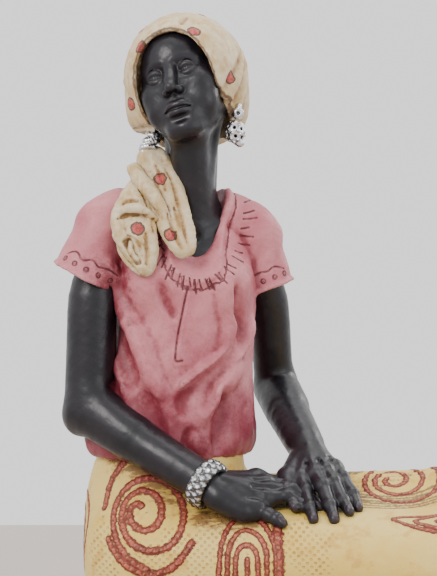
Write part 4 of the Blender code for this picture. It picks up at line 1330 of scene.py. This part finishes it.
def make_left_arm():
    low, high = corners("left_arm_casting")
    clay = Clay(low - (4, 14, 6), high + (6, 4, 4), GRID["arm"])
    s, e, w = LEFT_SHOULDER, LEFT_ELBOW, LEFT_WRIST
    upper = [offset(s, x=0.5, z=-13), offset(mix(s, e, 0.4), x=2.5), offset(mix(s, e, 0.75), x=1.2), e]
    clay.add(rope(upper, [8.4, 9.9, 9.9, 9.8], 4))
    clay.add(rope([e, mix(e, w, 0.35), mix(e, w, 0.72), w], [9.9, 9.9, 8.8, 7.7], 4), 3)
    clay.add(ball(offset(e, x=0.5, y=3.5, z=-3.5), 7.2), 5)
    clay.add(bone(offset(e, x=2.5, y=-4, z=3), offset(mix(e, w, 0.35), x=1.5, z=1), 7.6, 8.0), 6)
    knuckles = offsets(w, (-4.4, -19.0, -10.8), (2.2, -20.0, -8.8), (7.6, -17.6, -7.8), (12.0, -13.0, -7.0))
    across = knuckles[3] - knuckles[0]
    normal = np.cross(knuckles[1] - w, across)
    normal /= np.linalg.norm(normal)
    backs = normal if normal[2] > 0 else -normal
    flat = (backs, 1.3)
    clay.add(bone(offset(w, y=3), offset(w, x=0.5, y=-4, z=-1.6), 7.4, 7.6, flat), 3)
    for knuckle, radius in zip(knuckles, (5.4, 5.8, 5.6, 5.0)):
        clay.add(bone(offset(w, x=0.5, y=-3, z=-1.5), knuckle - 1.2 * backs, 7.0, radius, flat), 2.6)
    for knuckle in knuckles:
        clay.add(bone(offset(w, x=0.5, y=-5, z=-2) + 4.2 * backs, knuckle + 2.2 * backs, 0.9, 1.2), 2.4)
        clay.add(ball(knuckle + 0.8 * backs, 3.8), 1.8)
    for a, b in zip(knuckles, knuckles[1:]):
        between = mix(a, b, 0.5)
        clay.cut(bone(between + 5.4 * backs, between + 4.8 * backs + (0, 6, 1), 0.9, 0.3), 2.2)
    joints = [
        [(-2.3, -28.5, -15.6), (-0.9, -39.0, -21.6), (0.3, -46.6, -25.4)],
        [(5.4, -29.5, -13.0), (8.2, -40.5, -20.6), (9.7, -48.6, -25.2)],
        [(10.6, -26.0, -11.6), (14.4, -36.8, -18.8), (16.8, -45.0, -22.4)],
        [(15.2, -21.6, -10.2), (19.2, -31.0, -16.2), (21.3, -39.6, -21.6)],
    ]
    radii = [(3.9, 3.35, 3.05, 2.55), (4.0, 3.45, 3.1, 2.6), (3.8, 3.3, 3.0, 2.5), (3.5, 3.0, 2.7, 2.3)]
    fingers = add_fingers(clay, w, knuckles, joints, radii, (0.1, -0.45, 0.85))
    thumb = Finger(offsets(w, (-5.5, -7, -5), (-10.4, -17, -11), (-11.6, -28.5, -15.6), (-7.6, -38.6, -21.2)),
                   [5.0, 4.4, 3.6, 2.8], (-0.75, -0.35, 0.5))
    clay.add(thumb.shapes(), 2.6)
    return skin_piece(clay, "left_arm_and_hand", ["left_arm_casting"], [*fingers, thumb])


def make_foot(node, name, ankle, lean):
    low, high = corners(node)
    clay = Clay(low - (6, 6, 2), high + (5, 5, 5), GRID["foot"])
    rise = math.radians(48)
    length = 58.0
    along = np.array((math.cos(rise), lean, math.sin(rise)))
    along /= np.linalg.norm(along)
    side = np.cross((0, 0, 1), along)
    side /= np.linalg.norm(side)
    top = np.cross(along, side)
    top = -top if top @ (-1, 0, 0.5) < 0 else top
    heel = offset(ankle, x=15, z=-5.4)
    ball_of_foot = heel + 0.66 * length * along
    clay.add(rope(offsets(ankle, (-6, 0, 0), (4, 0, 0.5), (10, 0, 1)), [7.8, 7.6, 7.6], 3))
    clay.add(ball(heel, 7.6), 4)
    clay.add(bone(offset(ankle, x=10, z=2), heel + 0.40 * length * along + 2.0 * top, 7.2, 6.2), 5)
    clay.add(bone(heel, ball_of_foot, 6.8, 5.6), 5)
    for shift, radius in ((-4.6, 4.8), (0, 5.0), (4.4, 4.6)):
        start = heel + 0.35 * length * along + 0.6 * shift * side
        clay.add(bone(start, ball_of_foot + shift * side, 5.4, radius), 3)
    for shift in (-1, 1):
        clay.add(ball(offset(ankle, x=9, z=0.5) + 6.4 * shift * side, 3.2), 2.5)
    big = -1 if lean > 0 else 1  # the big toe is on the inner side of the foot
    toes = []
    for i in range(5):
        shift = big * (6.6 - 3.15 * i)
        root = ball_of_foot + shift * side + 0.5 * top - 0.5 * i * along
        reach = (11.5, 11.0, 10.0, 8.6, 7.0)[i]
        size = (3.1, 2.3, 2.15, 2.0, 1.9)[i]
        knee = root + 0.55 * reach * along + (1.1 if i else 0.3) * top
        tip = root + reach * along - (0.5 if i else 0) * top
        toe = Finger([root, knee, tip], [size + 0.5, size, 0.93 * size], top)
        toes.append(toe)
        clay.add(toe.shapes(), 1.1)
    clay.cut(below(GROUND - 1))
    return skin_piece(clay, name, [node], toes)


# ---------------------------------------------------------------- head

EYE = (0.128, -0.262, 0.010)  # the left eyeball's middle, in head heights

def both_sides(*half):
    """A symmetrical line from half of it, whose last point is in the middle."""
    return [(-x, y, z) for x, y, z in half] + list(half[-2::-1])


def add_skull(clay):
    """Skull, face, jaw and chin, in head heights."""
    clay.add(ball((0, 0.06, 0.11), 0.318, 0.390, 0.360), 0, HEAD)
    clay.add(ball((0, -0.085, -0.05), 0.308, 0.275, 0.42), 3, HEAD)
    clay.add(ball((0, -0.15, 0.20), 0.235, 0.20, 0.19), 5, HEAD)
    for side in (-1, 1):
        clay.add(bone((0.196 * side, 0.02, -0.235), (0.07 * side, -0.25, -0.425), 0.084, 0.082), 5, HEAD)
        clay.add(ball((0.195 * side, -0.215, -0.10), 0.098), 5, HEAD)
        clay.add(ball((0.170 * side, -0.20, -0.24), 0.108), 5, HEAD)
        clay.add(bone((0.055 * side, -0.325, 0.095), (0.205 * side, -0.245, 0.100), 0.026, 0.022), 4, HEAD)
    clay.add(ball((0, -0.295, -0.435), 0.080, 0.068, 0.066), 4, HEAD)
    clay.add(ball((0, -0.255, -0.30), 0.140, 0.112, 0.120), 5, HEAD)


def add_eyes(clay):
    """On each side a socket, the eyeball, two lids with an almond opening and the fold above them."""
    for side in (-1, 1):
        clay.cut(ball((0.128 * side, -0.372, 0.024), 0.088, 0.060, 0.058), 4, HEAD)
        eye = np.array(EYE) * (side, 1, 1)
        clay.add(ball(eye, 0.072), 0.5, HEAD)
        on_eye = lambda x, z, r: eye + (x, -math.sqrt(max(r * r - x * x - z * z, 0.0009)), z)
        spans = np.linspace(-1, 1, 13)
        for height, thick in ((0.030, 0.0125), (-0.026, 0.0105)):
            for row, size in ((1.0, 1.0), (1.55, 1.15)):
                rises = row * height * (1 - spans**2) + 0.006 * side * spans
                rims = [on_eye(0.074 * a, rise, 0.0745) for a, rise in zip(spans, rises)]
                sizes = size * thick * (0.45 + 0.55 * (1 - spans**2))
                clay.add(rope(rims, list(sizes), 1), 0.35 if row == 1.0 else 0.9, HEAD)
        fold = [on_eye(0.078 * a, 0.052 * (1 - a * a) + 0.012, 0.079) for a in spans]
        clay.cut(rope(fold, [0.002, 0.006, 0.007, 0.006, 0.002], 3), 0.6, HEAD)
        corner = on_eye(-0.066 * side, -0.004, 0.076)
        clay.cut(ball(corner, 0.007), 0.4, HEAD)


def add_nose(clay):
    """Bridge, tip, wings and nostrils."""
    bridge = [(0, -0.320, 0.080), (0, -0.350, 0.0), (0, -0.405, -0.115)]
    clay.add(rope(bridge, [0.024, 0.027, 0.036], 4), 2.8, HEAD)
    clay.add(ball((0, -0.420, -0.135), 0.044, 0.040, 0.036), 1.8, HEAD)
    for side in (-1, 1):
        clay.add(ball((0.054 * side, -0.368, -0.152), 0.033, 0.042, 0.030), 1.6, HEAD)
        clay.cut(ball((0.030 * side, -0.400, -0.176), 0.015, 0.020, 0.013), 0.8, HEAD)


def add_mouth(clay):
    """The groove above the upper lip, two full lips, the line between them and the dip below."""
    clay.cut(bone((0, -0.398, -0.192), (0, -0.385, -0.226), 0.008), 1.4, HEAD)
    upper = both_sides((0.108, -0.318, -0.287), (0.055, -0.364, -0.268), (0, -0.378, -0.270))
    lower = both_sides((0.092, -0.318, -0.302), (0.046, -0.356, -0.322), (0, -0.368, -0.328))
    clay.add(rope(upper, [0.012, 0.026, 0.028, 0.026, 0.012], 3), 1.3, HEAD)
    clay.add(rope(lower, [0.012, 0.028, 0.033, 0.028, 0.012], 3), 1.3, HEAD)
    line = both_sides((0.116, -0.318, -0.294), (0.055, -0.382, -0.296), (0, -0.402, -0.299))
    clay.cut(rope(line, [0.003, 0.006, 0.006, 0.003], 3), 0.9, HEAD)
    clay.cut(ball((0, -0.372, -0.374), 0.060, 0.022, 0.018), 3.2, HEAD)


def add_lobes(clay):
    """The lobes of the ears, below the scarf's edge."""
    for side in (-1, 1):
        clay.add(ball((0.262 * side, 0.085, -0.130), 0.024, 0.034, 0.045), 1.5, HEAD)


def add_neck(clay):
    """Neck, shoulders' slope, collarbones and the breast inside the neckline."""
    nape = in_head(0, 0.13, -0.14)
    clay.add(bone(nape, NECK_BASE, 12.4, 12.8), 4)
    clay.add(bone(in_head(0, -0.10, -0.30), offset(NECK_BASE, x=2, y=-8), 9.0, 9.5), 6)
    for side, reach in ((-1, 25), (1, 22)):
        shoulder = NECK_BASE + side * 0.7 * reach * ACROSS - (0, 0, 5)
        clay.add(bone(offset(NECK_BASE, z=1), shoulder, 11, 7.0), 9)
        jaw_corner = in_head(0.22 * side, 0.10, -0.20)
        clay.add(bone(jaw_corner, NECK_BASE + (2 * side + 1, -11.5, -2), 2.6, 2.0), 5)
    body, bust = torso_shapes(2.0)
    breast = clay.blank()
    breast.add(body).add(bust, 9)
    bounds = ball(offset(NECK_BASE, x=4, y=-16, z=-8), 27, 22, 27)
    breast.value = np.maximum(breast.value, bounds.distance(*breast.grid(breast.whole())))
    clay.value = smooth_min(clay.value, breast.value, 5)
    for side in (-1, 1):
        inner = NECK_BASE + 4.5 * side * ACROSS + (1.5, -16.5, -7.5)
        outer = NECK_BASE + 21 * side * ACROSS + (0, -9, -1.5)
        clay.add(rope([inner, mix(inner, outer, 0.5) + (0, 0, 0.8), outer], [1.7, 1.5, 1.3], 3), 3.0)
    clay.cut(ball(offset(NECK_BASE, x=3, y=-20.5, z=-6.5), 3.4, 3.0, 3.4), 3.0)


def carve_irises(piece):
    own = (piece.points - HEAD[:3, 3]) @ np.linalg.inv(HEAD[:3, :3]).T
    iris = np.full(len(own), 1.0)
    for side in (-1, 1):
        away = own - (EYE[0] * side, EYE[1], EYE[2] + 0.001)
        iris = np.minimum(iris, np.hypot(away[:, 0], away[:, 2]) + (away[:, 1] > 0))
    piece.push(-0.16 * bump(iris - 0.025, 0.008) - 0.30 * bump(iris, 0.011))


def make_head():
    low, high = corners("head_casting")
    clay = Clay(low - (8, 8, 0), high + (8, 5, 1), GRID["head"])
    for add_feature in (add_skull, add_eyes, add_nose, add_mouth, add_lobes, add_neck):
        add_feature(clay)
    return skin_piece(clay, "head_neck_and_breast", ["head_casting"], relax=1, dress=carve_irises)


WRAP_CENTRE = (-0.01, 0.10, 0.10)
WRAP_RADII = (0.487, 0.540, 0.525)


def wrap_arc(start, end, swing, count=40):
    """A line over the wrap from one point to another, swung round the line between them, and the way in."""
    a, b = (np.asarray(p, float) / np.linalg.norm(p) for p in (start, end))
    axis = (b - a) / np.linalg.norm(b - a)
    middle = a + b
    middle = middle - (middle @ axis) * axis
    middle /= max(np.linalg.norm(middle), 1e-6)
    other = np.cross(axis, middle)
    angle = math.radians(swing)
    top = math.cos(angle) * middle + math.sin(angle) * other
    t = np.linspace(0, math.pi, count)[:, None]
    ways = -np.cos(t) * axis * 0.98 + np.sin(t) * top + 0.02
    ways /= np.linalg.norm(ways, axis=1, keepdims=True)
    points = np.array([in_head(*(np.array(WRAP_CENTRE) + w), WRAP) for w in ways])
    return points, -(ways @ WRAP[:3, :3].T)


def wrap_clay():
    """The wrap before it is hollowed, and the lines of its folds, which run from the knot to the far side."""
    low, high = corners("headscarf_casting")
    clay = Clay(low - 5, high + 5, GRID["wrap"])
    clay.add(ball(WRAP_CENTRE, *WRAP_RADII), 0, WRAP)
    # A fuller roll at the nape, low behind her left ear, and a crown that is a little flat.
    clay.add(ball((0.12, 0.34, -0.12), 0.26, 0.22, 0.22), 8, WRAP)
    clay.add(ball((-0.20, 0.30, -0.12), 0.22, 0.20, 0.22), 8, WRAP)
    clay.add(ball(offset(HEAD_CENTRE, x=-18.5, y=3, z=-12), 9.5, 10.5, 12), 6)
    lines = []
    knot, far = (-0.62, 0.15, -0.75), (0.80, 0.25, 0.12)
    swings = (-64, -42, -20, 0, 22, 46, 72, 100)
    for swing, radius in zip(swings, (0.9, 1.2, 1.0, 1.3, 1.1, 1.4, 1.1, 1.3)):
        line = lifted(clay, *wrap_arc(knot, far, swing))
        lines.append(line)
        if len(line) > 8:
            clay.cut(rope(line[3:-4:3], [0.3, radius, radius, 0.3], 2), 3.4)
    return clay, [line for line in lines if len(line) > 8]


def hollow_wrap(clay):
    """Cuts room for the head, and the opening round the face with its rolled edge."""
    inside = clay.blank()
    inside.add(ball((0, 0.06, 0.10), 0.325, 0.41, 0.385), 0, WRAP)
    inside.add(bone((0, 0.10, -0.1), (0, 0.14, -0.7), 0.30, 0.30), 4, WRAP)
    face = clay.blank()
    face.add(bone((0.0, -1.0, -0.14), (0, -0.17, -0.12), 0.325, 0.325, ((0, 0, 1), 0.755)), 0, WRAP)
    face.add(bone((0.24, -1.0, -0.36), (0.34, -0.02, -0.36), 0.17, 0.15), 5, WRAP)
    under = clay.blank()
    under.add(bone((0, -0.9, -0.80), (0, 0.9, -1.02), 0.46, 0.46), 0, WRAP)
    hole = smooth_min(face.value, under.value, 6)
    rim = np.hypot(clay.value + 1.1, hole - 0.4) - 1.45
    outer = np.maximum(clay.value, -hole)
    shell = smooth_min(outer, rim, 1.4)
    clay.value = -smooth_min(-shell, inside.value, 0.6)
    # A pleat at the forehead, where the cloth turns under.
    notch = [in_head(0.13, -0.60, 0.34, WRAP), in_head(0.16, -0.50, 0.44, WRAP)]
    notch = lifted(clay, rounded(notch, 8), WRAP[:3, 1])
    if len(notch) > 4:
        clay.cut(rope(notch[::2], [0.9, 0.3], 2), 1.6)
    return hole


def make_headscarf():
    clay, lines = wrap_clay()
    hole = hollow_wrap(clay)
    piece = Sculpt(clay, relax=2)
    points, normals = piece.points, piece.normals
    front_dots = ((4.7, 24.7), (21.3, 3.3), (-21.3, 18.0), (-25.6, -9.0))
    dots = [lifted(clay, [(HEAD_CENTRE[0] + x, -90, HEAD_CENTRE[2] + z)]) for x, z in front_dots]
    centre = in_head(*WRAP_CENTRE, WRAP)
    for way in spread_ways(34):
        found = lifted(clay, [centre + 60 * way], -way)
        if len(found) and way[1] > -0.15 and near_dots(found, np.vstack(dots))[0] > 13:
            dots.append(found)
    distance = near_dots(points, np.vstack(dots))
    opening = clay.blank()
    opening.value = hole
    edge = sampled(opening, points) + 0.35
    fold_distance = near_lines(points, normals, lines, 4)[0]
    piece.push(0.25 * waves(points, 9, 41) + 0.35 * bump(distance, 2.9) - 0.35 * bump(fold_distance, 0.9))
    piece.fields |= {"dot": distance, "trim": edge, "crease": fold_distance + 0.3}
    return piece.build("headscarf", "scarf_paint", SCARF_LOOK, ["headscarf_casting"])


KNOT = offset(HEAD_CENTRE, x=-16.6, y=-5, z=-34.6)


# Across a tail: where each of its soft rolls runs, and how thick it is.
TAIL_ROLLS = ((-0.92, 1.05), (-0.62, 0.85), (-0.3, 0.95), (0, 0.85), (0.3, 1.0), (0.62, 0.85), (0.92, 1.1))


def tail_piece(name, replaces, route, widths, thickness, face, rolls, folds, dots, curls=()):
    """One tail of the scarf: a band of cloth along a route from the knot, with rolled edges and folds.

    Places are given from the knot; those of folds, dots and curls are (x, z), seen from the front.
    """
    route = np.array([KNOT + np.array(p, float) for p in route])
    low, high = route.min(axis=0) - 17, route.max(axis=0) + 17
    clay = Clay(low, high, GRID["tail"])
    line = rounded(route, 8)
    share = np.linspace(0, 1, len(line))
    wide = np.interp(share, np.linspace(0, 1, len(widths)), widths)
    face = np.asarray(face, float) / np.linalg.norm(face)
    side = np.cross(np.gradient(line, axis=0), face)
    side /= np.linalg.norm(side, axis=1, keepdims=True)
    for at, size in TAIL_ROLLS:
        wave = 0.6 * math.cos(5 * at) + 0.6 * np.sin(6 * share + 3 * at)
        run = line + side * (at * wide)[:, None] + face * (wave * np.minimum(share * 3, 1))[:, None]
        radii = thickness * size * np.clip(1.15 - 0.3 * share, 0.5, 1.2)
        clay.add([bone(*ends) for ends in zip(run, run[1:], radii, radii[1:])], 2.6)
    for places, radii in rolls:
        clay.add(rope([KNOT + np.array(p, float) for p in places], radii, 5), 0.5)
    creases = []
    for pairs, radius in folds:
        fold = calmed(lifted(clay, rounded([KNOT + (x, -80, z) for x, z in pairs], 6), sink=0.15), 8)
        if len(fold) > 4:
            clay.cut(rope(fold[::2], [0.4, 0.5 + 0.6 * radius, 0.4], 3), 0.8)
            creases.append(fold)
    for ends, radius, depth in curls:
        start, end = lifted(clay, [KNOT + (x, -80, z) for x, z in ends])
        squash = ((0, 1, 0), radius / depth)
        clay.cut(bone(start + (0, 0.4, 0), end + (0, 0.4, 0), radius, 0.75 * radius, squash), 0.5)
        middle = mix(start, end, 0.5) + (-0.9, 0.8 * depth, 0)
        wrinkle = [start + (0.8, depth, 0), middle, end + (0.5, depth, 0)]
        clay.add(rope(wrinkle, [0.9, 1.1, 0.8], 4), 0.5)
    piece = Sculpt(clay, relax=1)
    points = piece.points
    found = [lifted(clay, [KNOT + (x, -80, z)]) for x, z in dots]
    piece.fields["dot"] = near_dots(points, np.vstack(found))
    piece.fields["trim"] = np.full(len(points), FAR)
    piece.fields["crease"] = near_lines(points, piece.normals, creases, 5)[0]
    dot = piece.fields["dot"]
    crumple = np.maximum(1 - 2.2 * np.abs(waves(points, 8, 52, octaves=2)), -0.4) * (1 - bump(dot, 4.5))
    piece.push(0.16 * waves(points, 5, 51) + 0.18 * crumple + 0.25 * bump(dot, 2.9))
    return piece.build(name, "scarf_paint", SCARF_LOOK, replaces)


def make_tails():
    """Both tails hang over her right breast: one straight down, one folded over and out."""
    route = [(0.5, 3, 2.5), (2.2, 0, -3.5), (6.3, -6, -11), (9.6, -12, -22.8), (13.8, -18, -35.4),
             (17.6, -21.5, -44.5)]
    rolls = [
        ([(-7.6, -5, -5.5), (-4.0, -10, -11.0), (1.6, -15.0, -17.5), (6.6, -17.5, -25.5), (10.5, -19.5, -35)],
         [3.2, 3.8, 3.4, 2.6, 1.2]),
        ([(6.5, -3.5, -4), (11.6, -8, -13), (15.2, -13, -24), (18.8, -18, -35)], [0.9, 1.4, 1.4, 0.9]),
    ]
    folds = [
        ([(8, -6), (12, -14), (14.5, -26), (18, -40)], 0.7),
        ([(3, -4), (5.5, -9), (8, -16)], 0.6),
        ([(9, -27), (12, -36), (16, -43)], 0.8),
        ([(12, -24), (15, -33)], 0.5),
    ]
    widths = [3.6, 5.4, 6.4, 6.8, 6.0, 2.6]
    dots = [(5.2, -10.4), (10.5, -36.4)]
    tail_piece("scarf_tail_straight", ["scarf_tail_inner"], route, widths, 1.75, (0.2, -1, 0.25),
               rolls, folds, dots)
    route = [(-4.2, -5, -13), (-6.6, -12, -20), (-7.8, -17, -28), (-6.4, -20.5, -36), (-2.6, -22.5, -45),
             (-0.8, -23.5, -53)]
    rolls = [
        ([(-16, -13, -32.5), (-15, -16.5, -27.5), (-9.6, -20, -24.5), (-3, -21.5, -24.8), (3, -19.5, -29)],
         [1.5, 2.2, 2.3, 2.0, 1.2]),
        ([(-15.8, -14, -31), (-13.5, -19, -36.5), (-8.0, -22.5, -38.0), (-2.6, -24, -39.5), (0.5, -24, -43)],
         [1.4, 1.8, 1.7, 1.4, 0.9]),
        ([(-14.0, -18, -37), (-13.6, -20.5, -43), (-10.2, -22.5, -49), (-4.4, -23.5, -54.5)],
         [1.2, 1.3, 1.3, 1.1]),
        ([(0.6, -22, -40), (-0.2, -24, -46), (-1.6, -24, -53)], [1.2, 1.7, 1.2]),
    ]
    folds = [
        ([(-14, -29), (-8.6, -26.8), (-1, -27.5)], 0.9),
        ([(-4.5, -15), (-1.5, -20), (2, -27), (2.0, -35)], 0.8),
        ([(-12, -22), (-9, -20.5), (-5, -21)], 0.6),
        ([(-1.5, -36), (-0.5, -43), (-0.8, -50)], 0.8),
        ([(-9.5, -37), (-5, -40), (-3, -46)], 0.7),
    ]
    widths = [2.2, 4.4, 7.6, 8.0, 5.4, 1.2]
    curls = [(((-9.4, -40.0), (-5.0, -49.0)), 2.7, 3.2)]
    tail_piece("scarf_tail_folded", ["scarf_tail_outer"], route, widths, 1.7, (0.1, -1, 0.3),
               rolls, folds, [(-5, -33.6)], curls)


# ---------------------------------------------------------------- jewellery


def ring_surface(centre, axis, radius, section, relief, around_count=220, section_count=44):
    """Points and quads of a ring: section gives (along, outward) at each turn of its outline."""
    axis = np.asarray(axis) / np.linalg.norm(axis)
    first = np.cross(axis, (0.0, 0.0, 1.0))
    first /= np.linalg.norm(first)
    second = np.cross(axis, first)
    phi = np.linspace(0, 2 * math.pi, around_count, endpoint=False)[:, None]
    psi = np.linspace(0, 2 * math.pi, section_count, endpoint=False)[None, :]
    along, outward = section(psi)
    outward = outward + relief(phi, psi, along)
    along = along + 0 * phi
    r = radius + outward
    points = (centre + along[..., None] * axis + (r * np.cos(phi))[..., None] * first
              + (r * np.sin(phi))[..., None] * second)
    index = np.arange(around_count * section_count).reshape(around_count, section_count)
    right, up = np.roll(index, -1, axis=0), np.roll(index, -1, axis=1)
    both = np.roll(right, -1, axis=1)
    quads = np.stack([index, right, both, up], axis=2).reshape(-1, 4)
    return points.reshape(-1, 3), quads


def raw_sculpt(points, quads, step):
    piece = Sculpt.__new__(Sculpt)
    piece.points, piece.quads, piece.step, piece.fields = points, quads, step, {}
    piece.ends = edges_of(quads)
    piece.normals = normals_of(points, quads)
    return piece


def make_bracelet():
    axis = RIGHT_WRIST - RIGHT_ELBOW
    centre = RIGHT_WRIST - 1.6 * axis / np.linalg.norm(axis)

    def section(psi):
        squared = np.abs(np.cos(psi)) ** 0.7 * np.sign(np.cos(psi))
        return 4.4 * squared, 1.7 * np.sin(psi)

    def braid(phi, psi, along):
        outer = np.clip(np.sin(psi), 0, 1)
        strands = np.maximum(np.sin(17 * phi + 1.15 * along), np.sin(17 * phi - 1.15 * along + 1.5))
        return outer * (0.75 * strands**2 * np.sign(strands) + 0.25 * np.cos(1.9 * along))

    piece = raw_sculpt(*ring_surface(centre, axis, 9.6, section, braid), 0.35)
    piece.push(0.06 * waves(piece.points, 2.2, 61))
    return piece.build("braided_bracelet", "silver_paint", SILVER_LOOK, ["bracelet"])


def make_earrings():
    """A pitted filigree drop at her left ear, and a drop of stacked twisted hoops at her right ear."""
    drop = offset(HEAD_CENTRE, x=24.3, y=-8, z=-22.5)
    clay = Clay(drop - (8, 7, 10), drop + (9, 7, 17), GRID["earring"])
    clay.add(ball(offset(drop, x=1.6, y=3, z=12.4), 1.7, 3.0, 1.7))
    clay.add(ball(offset(drop, x=1.2, z=9.0), 3.0, 2.2, 3.0), 0.8)
    clay.add(ball(drop, 4.7, 3.0, 5.7), 1.2)
    clay.add(ball(offset(drop, x=2.2, z=-5.2), 2.2, 1.8, 2.0), 1.0)
    for i, way in enumerate(spread_ways(54)):
        at = drop + way * (4.7, 3.0, 5.7)
        if i % 3 == 0:
            clay.cut(bone(at, mix(at, drop, 0.35), 0.85, 0.6), 0.3)
        else:
            clay.add(ball(at, 0.62), 0.35)
    for i in range(9):
        a = i * math.tau / 9
        clay.cut(ball(offset(drop, x=1.2 + 2.9 * math.cos(a), y=-1.2, z=9.0 + 2.9 * math.sin(a)), 0.6), 0.25)
    clay.cut(ball(offset(drop, x=1.2, y=-2.4, z=9.0), 1.1), 0.4)
    piece = Sculpt(clay, relax=1)
    piece.build("filigree_earring", "silver_paint", DULL_SILVER_LOOK, ["earring_left"])

    top = offset(HEAD_CENTRE, x=-15.2, y=-3.5, z=-21.0)
    clay = Clay(top - (9, 8, 16), top + (8, 8, 4), GRID["earring"])
    clay.add(ball(top, 1.9))
    for i in range(5):
        centre = offset(top, x=-0.75 * i, z=-2.5 * i - 1.8)
        size = (2.4, 3.2, 3.7, 3.4, 2.4)[i]
        turn = np.linspace(0, 2 * math.pi, 17)
        hoop = [centre + (size * math.cos(a), size * 0.8 * math.sin(a), 1.1 * math.sin(a + i)) for a in turn]
        clay.add([bone(a, b, 0.95) for a, b in zip(hoop, hoop[1:])], 0.35)
        clay.add([ball(centre + 1.08 * (h - centre), 1.1) for h in hoop[::2]], 0.2)
    clay.add(bone(offset(top, z=-1), offset(top, x=-3.2, z=-12), 1.6, 1.4), 0.3)
    piece = Sculpt(clay, relax=1)
    piece.build("twisted_hoop_earring", "silver_paint", SILVER_LOOK, ["earring_right"])


# ---------------------------------------------------------------- base


def make_felt():
    low, high = corners("felt_pad")
    clay = Clay(low - (2, 2, 1), high + (2, 2, 2), GRID["felt"])
    outline = clay.blank()
    flat = lambda point: (point[0], point[1], FELT_MIDDLE)
    outline.add(bone(flat(RIGHT_HIP), flat(RIGHT_KNEE), 29.2, 21.0))
    outline.add(bone(flat(LEFT_HIP), flat(LEFT_KNEE), 28.2, 20.6), 12)
    outline.add(bone(flat(RIGHT_KNEE), mix(flat(RIGHT_KNEE), flat(RIGHT_ANKLE), 0.9), 20.6, 14), 6)
    outline.add(bone(flat(LEFT_KNEE), mix(flat(LEFT_KNEE), flat(LEFT_ANKLE), 0.9), 20.6, 14), 10)
    outline.add(bone(flat(mix(RIGHT_HIP, LEFT_HIP, 0.5)), flat(mix(RIGHT_KNEE, LEFT_KNEE, 0.5)), 26, 18), 12)
    edge = outline.value[:, :, outline.shape[2] // 2][:, :, None]
    z = clay.grid(clay.whole())[2]
    clay.value = np.maximum(edge, np.abs(z - FELT_MIDDLE) - 0.72)
    piece = Sculpt(clay, relax=1)
    piece.push(0.03 * waves(piece.points, 3, 71))
    return piece.build("felt_base", "felt", felt_look(), ["felt_pad"])


def paint_inner_parts():
    board, steel = board_look(), steel_look()
    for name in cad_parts:
        if name.endswith("_pin") or name == "base_board":
            obj = bpy.data.objects[name]
            for slot in obj.material_slots:
                slot.material = board if name == "base_board" else steel


# ---------------------------------------------------------------- studio

FLOOR_SIDE, FLOOR_BACK = 1.5, 0.27  # in metres from the origin
CAMERA_PLACE = (0.01625, -0.9, 0.20613)
CAMERA_LENS, CAMERA_DIP = 115.98, 2.715  # in millimetres, and in degrees below level

def make_stage():
    """A plain pale floor under the figure."""
    mesh = bpy.data.meshes.new("floor")
    rim = [(-FLOOR_SIDE, -FLOOR_SIDE, 0), (FLOOR_SIDE, -FLOOR_SIDE, 0), (FLOOR_SIDE, FLOOR_BACK, 0)]
    rim.append((-FLOOR_SIDE, FLOOR_BACK, 0))
    mesh.from_pydata(rim, [], [(0, 1, 2, 3)])
    look = Look("floor_paint", Specular_IOR_Level=0.2)
    tint = look.blend(look.noise(120, 3), (0.42, 0.37, 0.335), (0.47, 0.42, 0.385))
    mesh.materials.append(look.finish(tint, 0.75, (look.noise(4, 3), 0.05)))
    floor = bpy.data.objects.new("floor", mesh)
    bpy.context.scene.collection.objects.link(floor)


def area_light(name, place, aim, size, watts, colour):
    light = bpy.data.lights.new(name, "AREA")
    light.size, light.energy, light.color = size, watts, colour
    lamp = bpy.data.objects.new(name, light)
    lamp.location = place
    lamp.rotation_euler = (Vector(aim) - Vector(place)).to_track_quat("-Z", "Y").to_euler()
    bpy.context.scene.collection.objects.link(lamp)


def make_light():
    world = bpy.data.worlds.new("studio")
    world.use_nodes = True
    background = world.node_tree.nodes["Background"]
    background.inputs["Color"].default_value = (0.94, 0.94, 0.95, 1)
    background.inputs["Strength"].default_value = 1.45
    bpy.context.scene.world = world
    aim = (0.02, -0.01, 0.16)
    area_light("key", (-0.75, -0.95, 0.95), aim, 0.55, 14, (1.0, 0.97, 0.94))
    area_light("fill", (1.1, -0.8, 0.5), aim, 0.9, 5, (0.95, 0.97, 1.0))
    area_light("top", (0.1, 0.15, 1.2), aim, 0.8, 7, (1.0, 0.99, 0.97))
    area_light("rim", (0.9, 0.7, 0.7), aim, 0.5, 5, (1.0, 0.98, 0.96))


def make_camera():
    camera = bpy.data.cameras.new("camera")
    camera.lens = CAMERA_LENS
    camera.sensor_width = 36
    camera.dof.use_dof = False
    obj = bpy.data.objects.new("camera", camera)
    obj.location = CAMERA_PLACE
    obj.rotation_euler = (math.radians(90 - CAMERA_DIP), 0, 0)
    bpy.context.scene.collection.objects.link(obj)
    bpy.context.scene.camera = obj


make_camera()
make_stage()
make_light()
SKIN_LOOK, SCARF_LOOK = skin_look(), scarf_look()
SILVER_LOOK, DULL_SILVER_LOOK = silver_look("silver_bright"), silver_look("silver_dull", 0.03)
make_skirt()
make_blouse()
make_head()
make_headscarf()
make_tails()
make_right_arm()
make_left_arm()
make_foot("right_foot_casting", "right_foot", RIGHT_ANKLE, -0.18)
make_foot("left_foot_casting", "left_foot", LEFT_ANKLE, 0.10)
make_bracelet()
make_earrings()
make_felt()
paint_inner_parts()
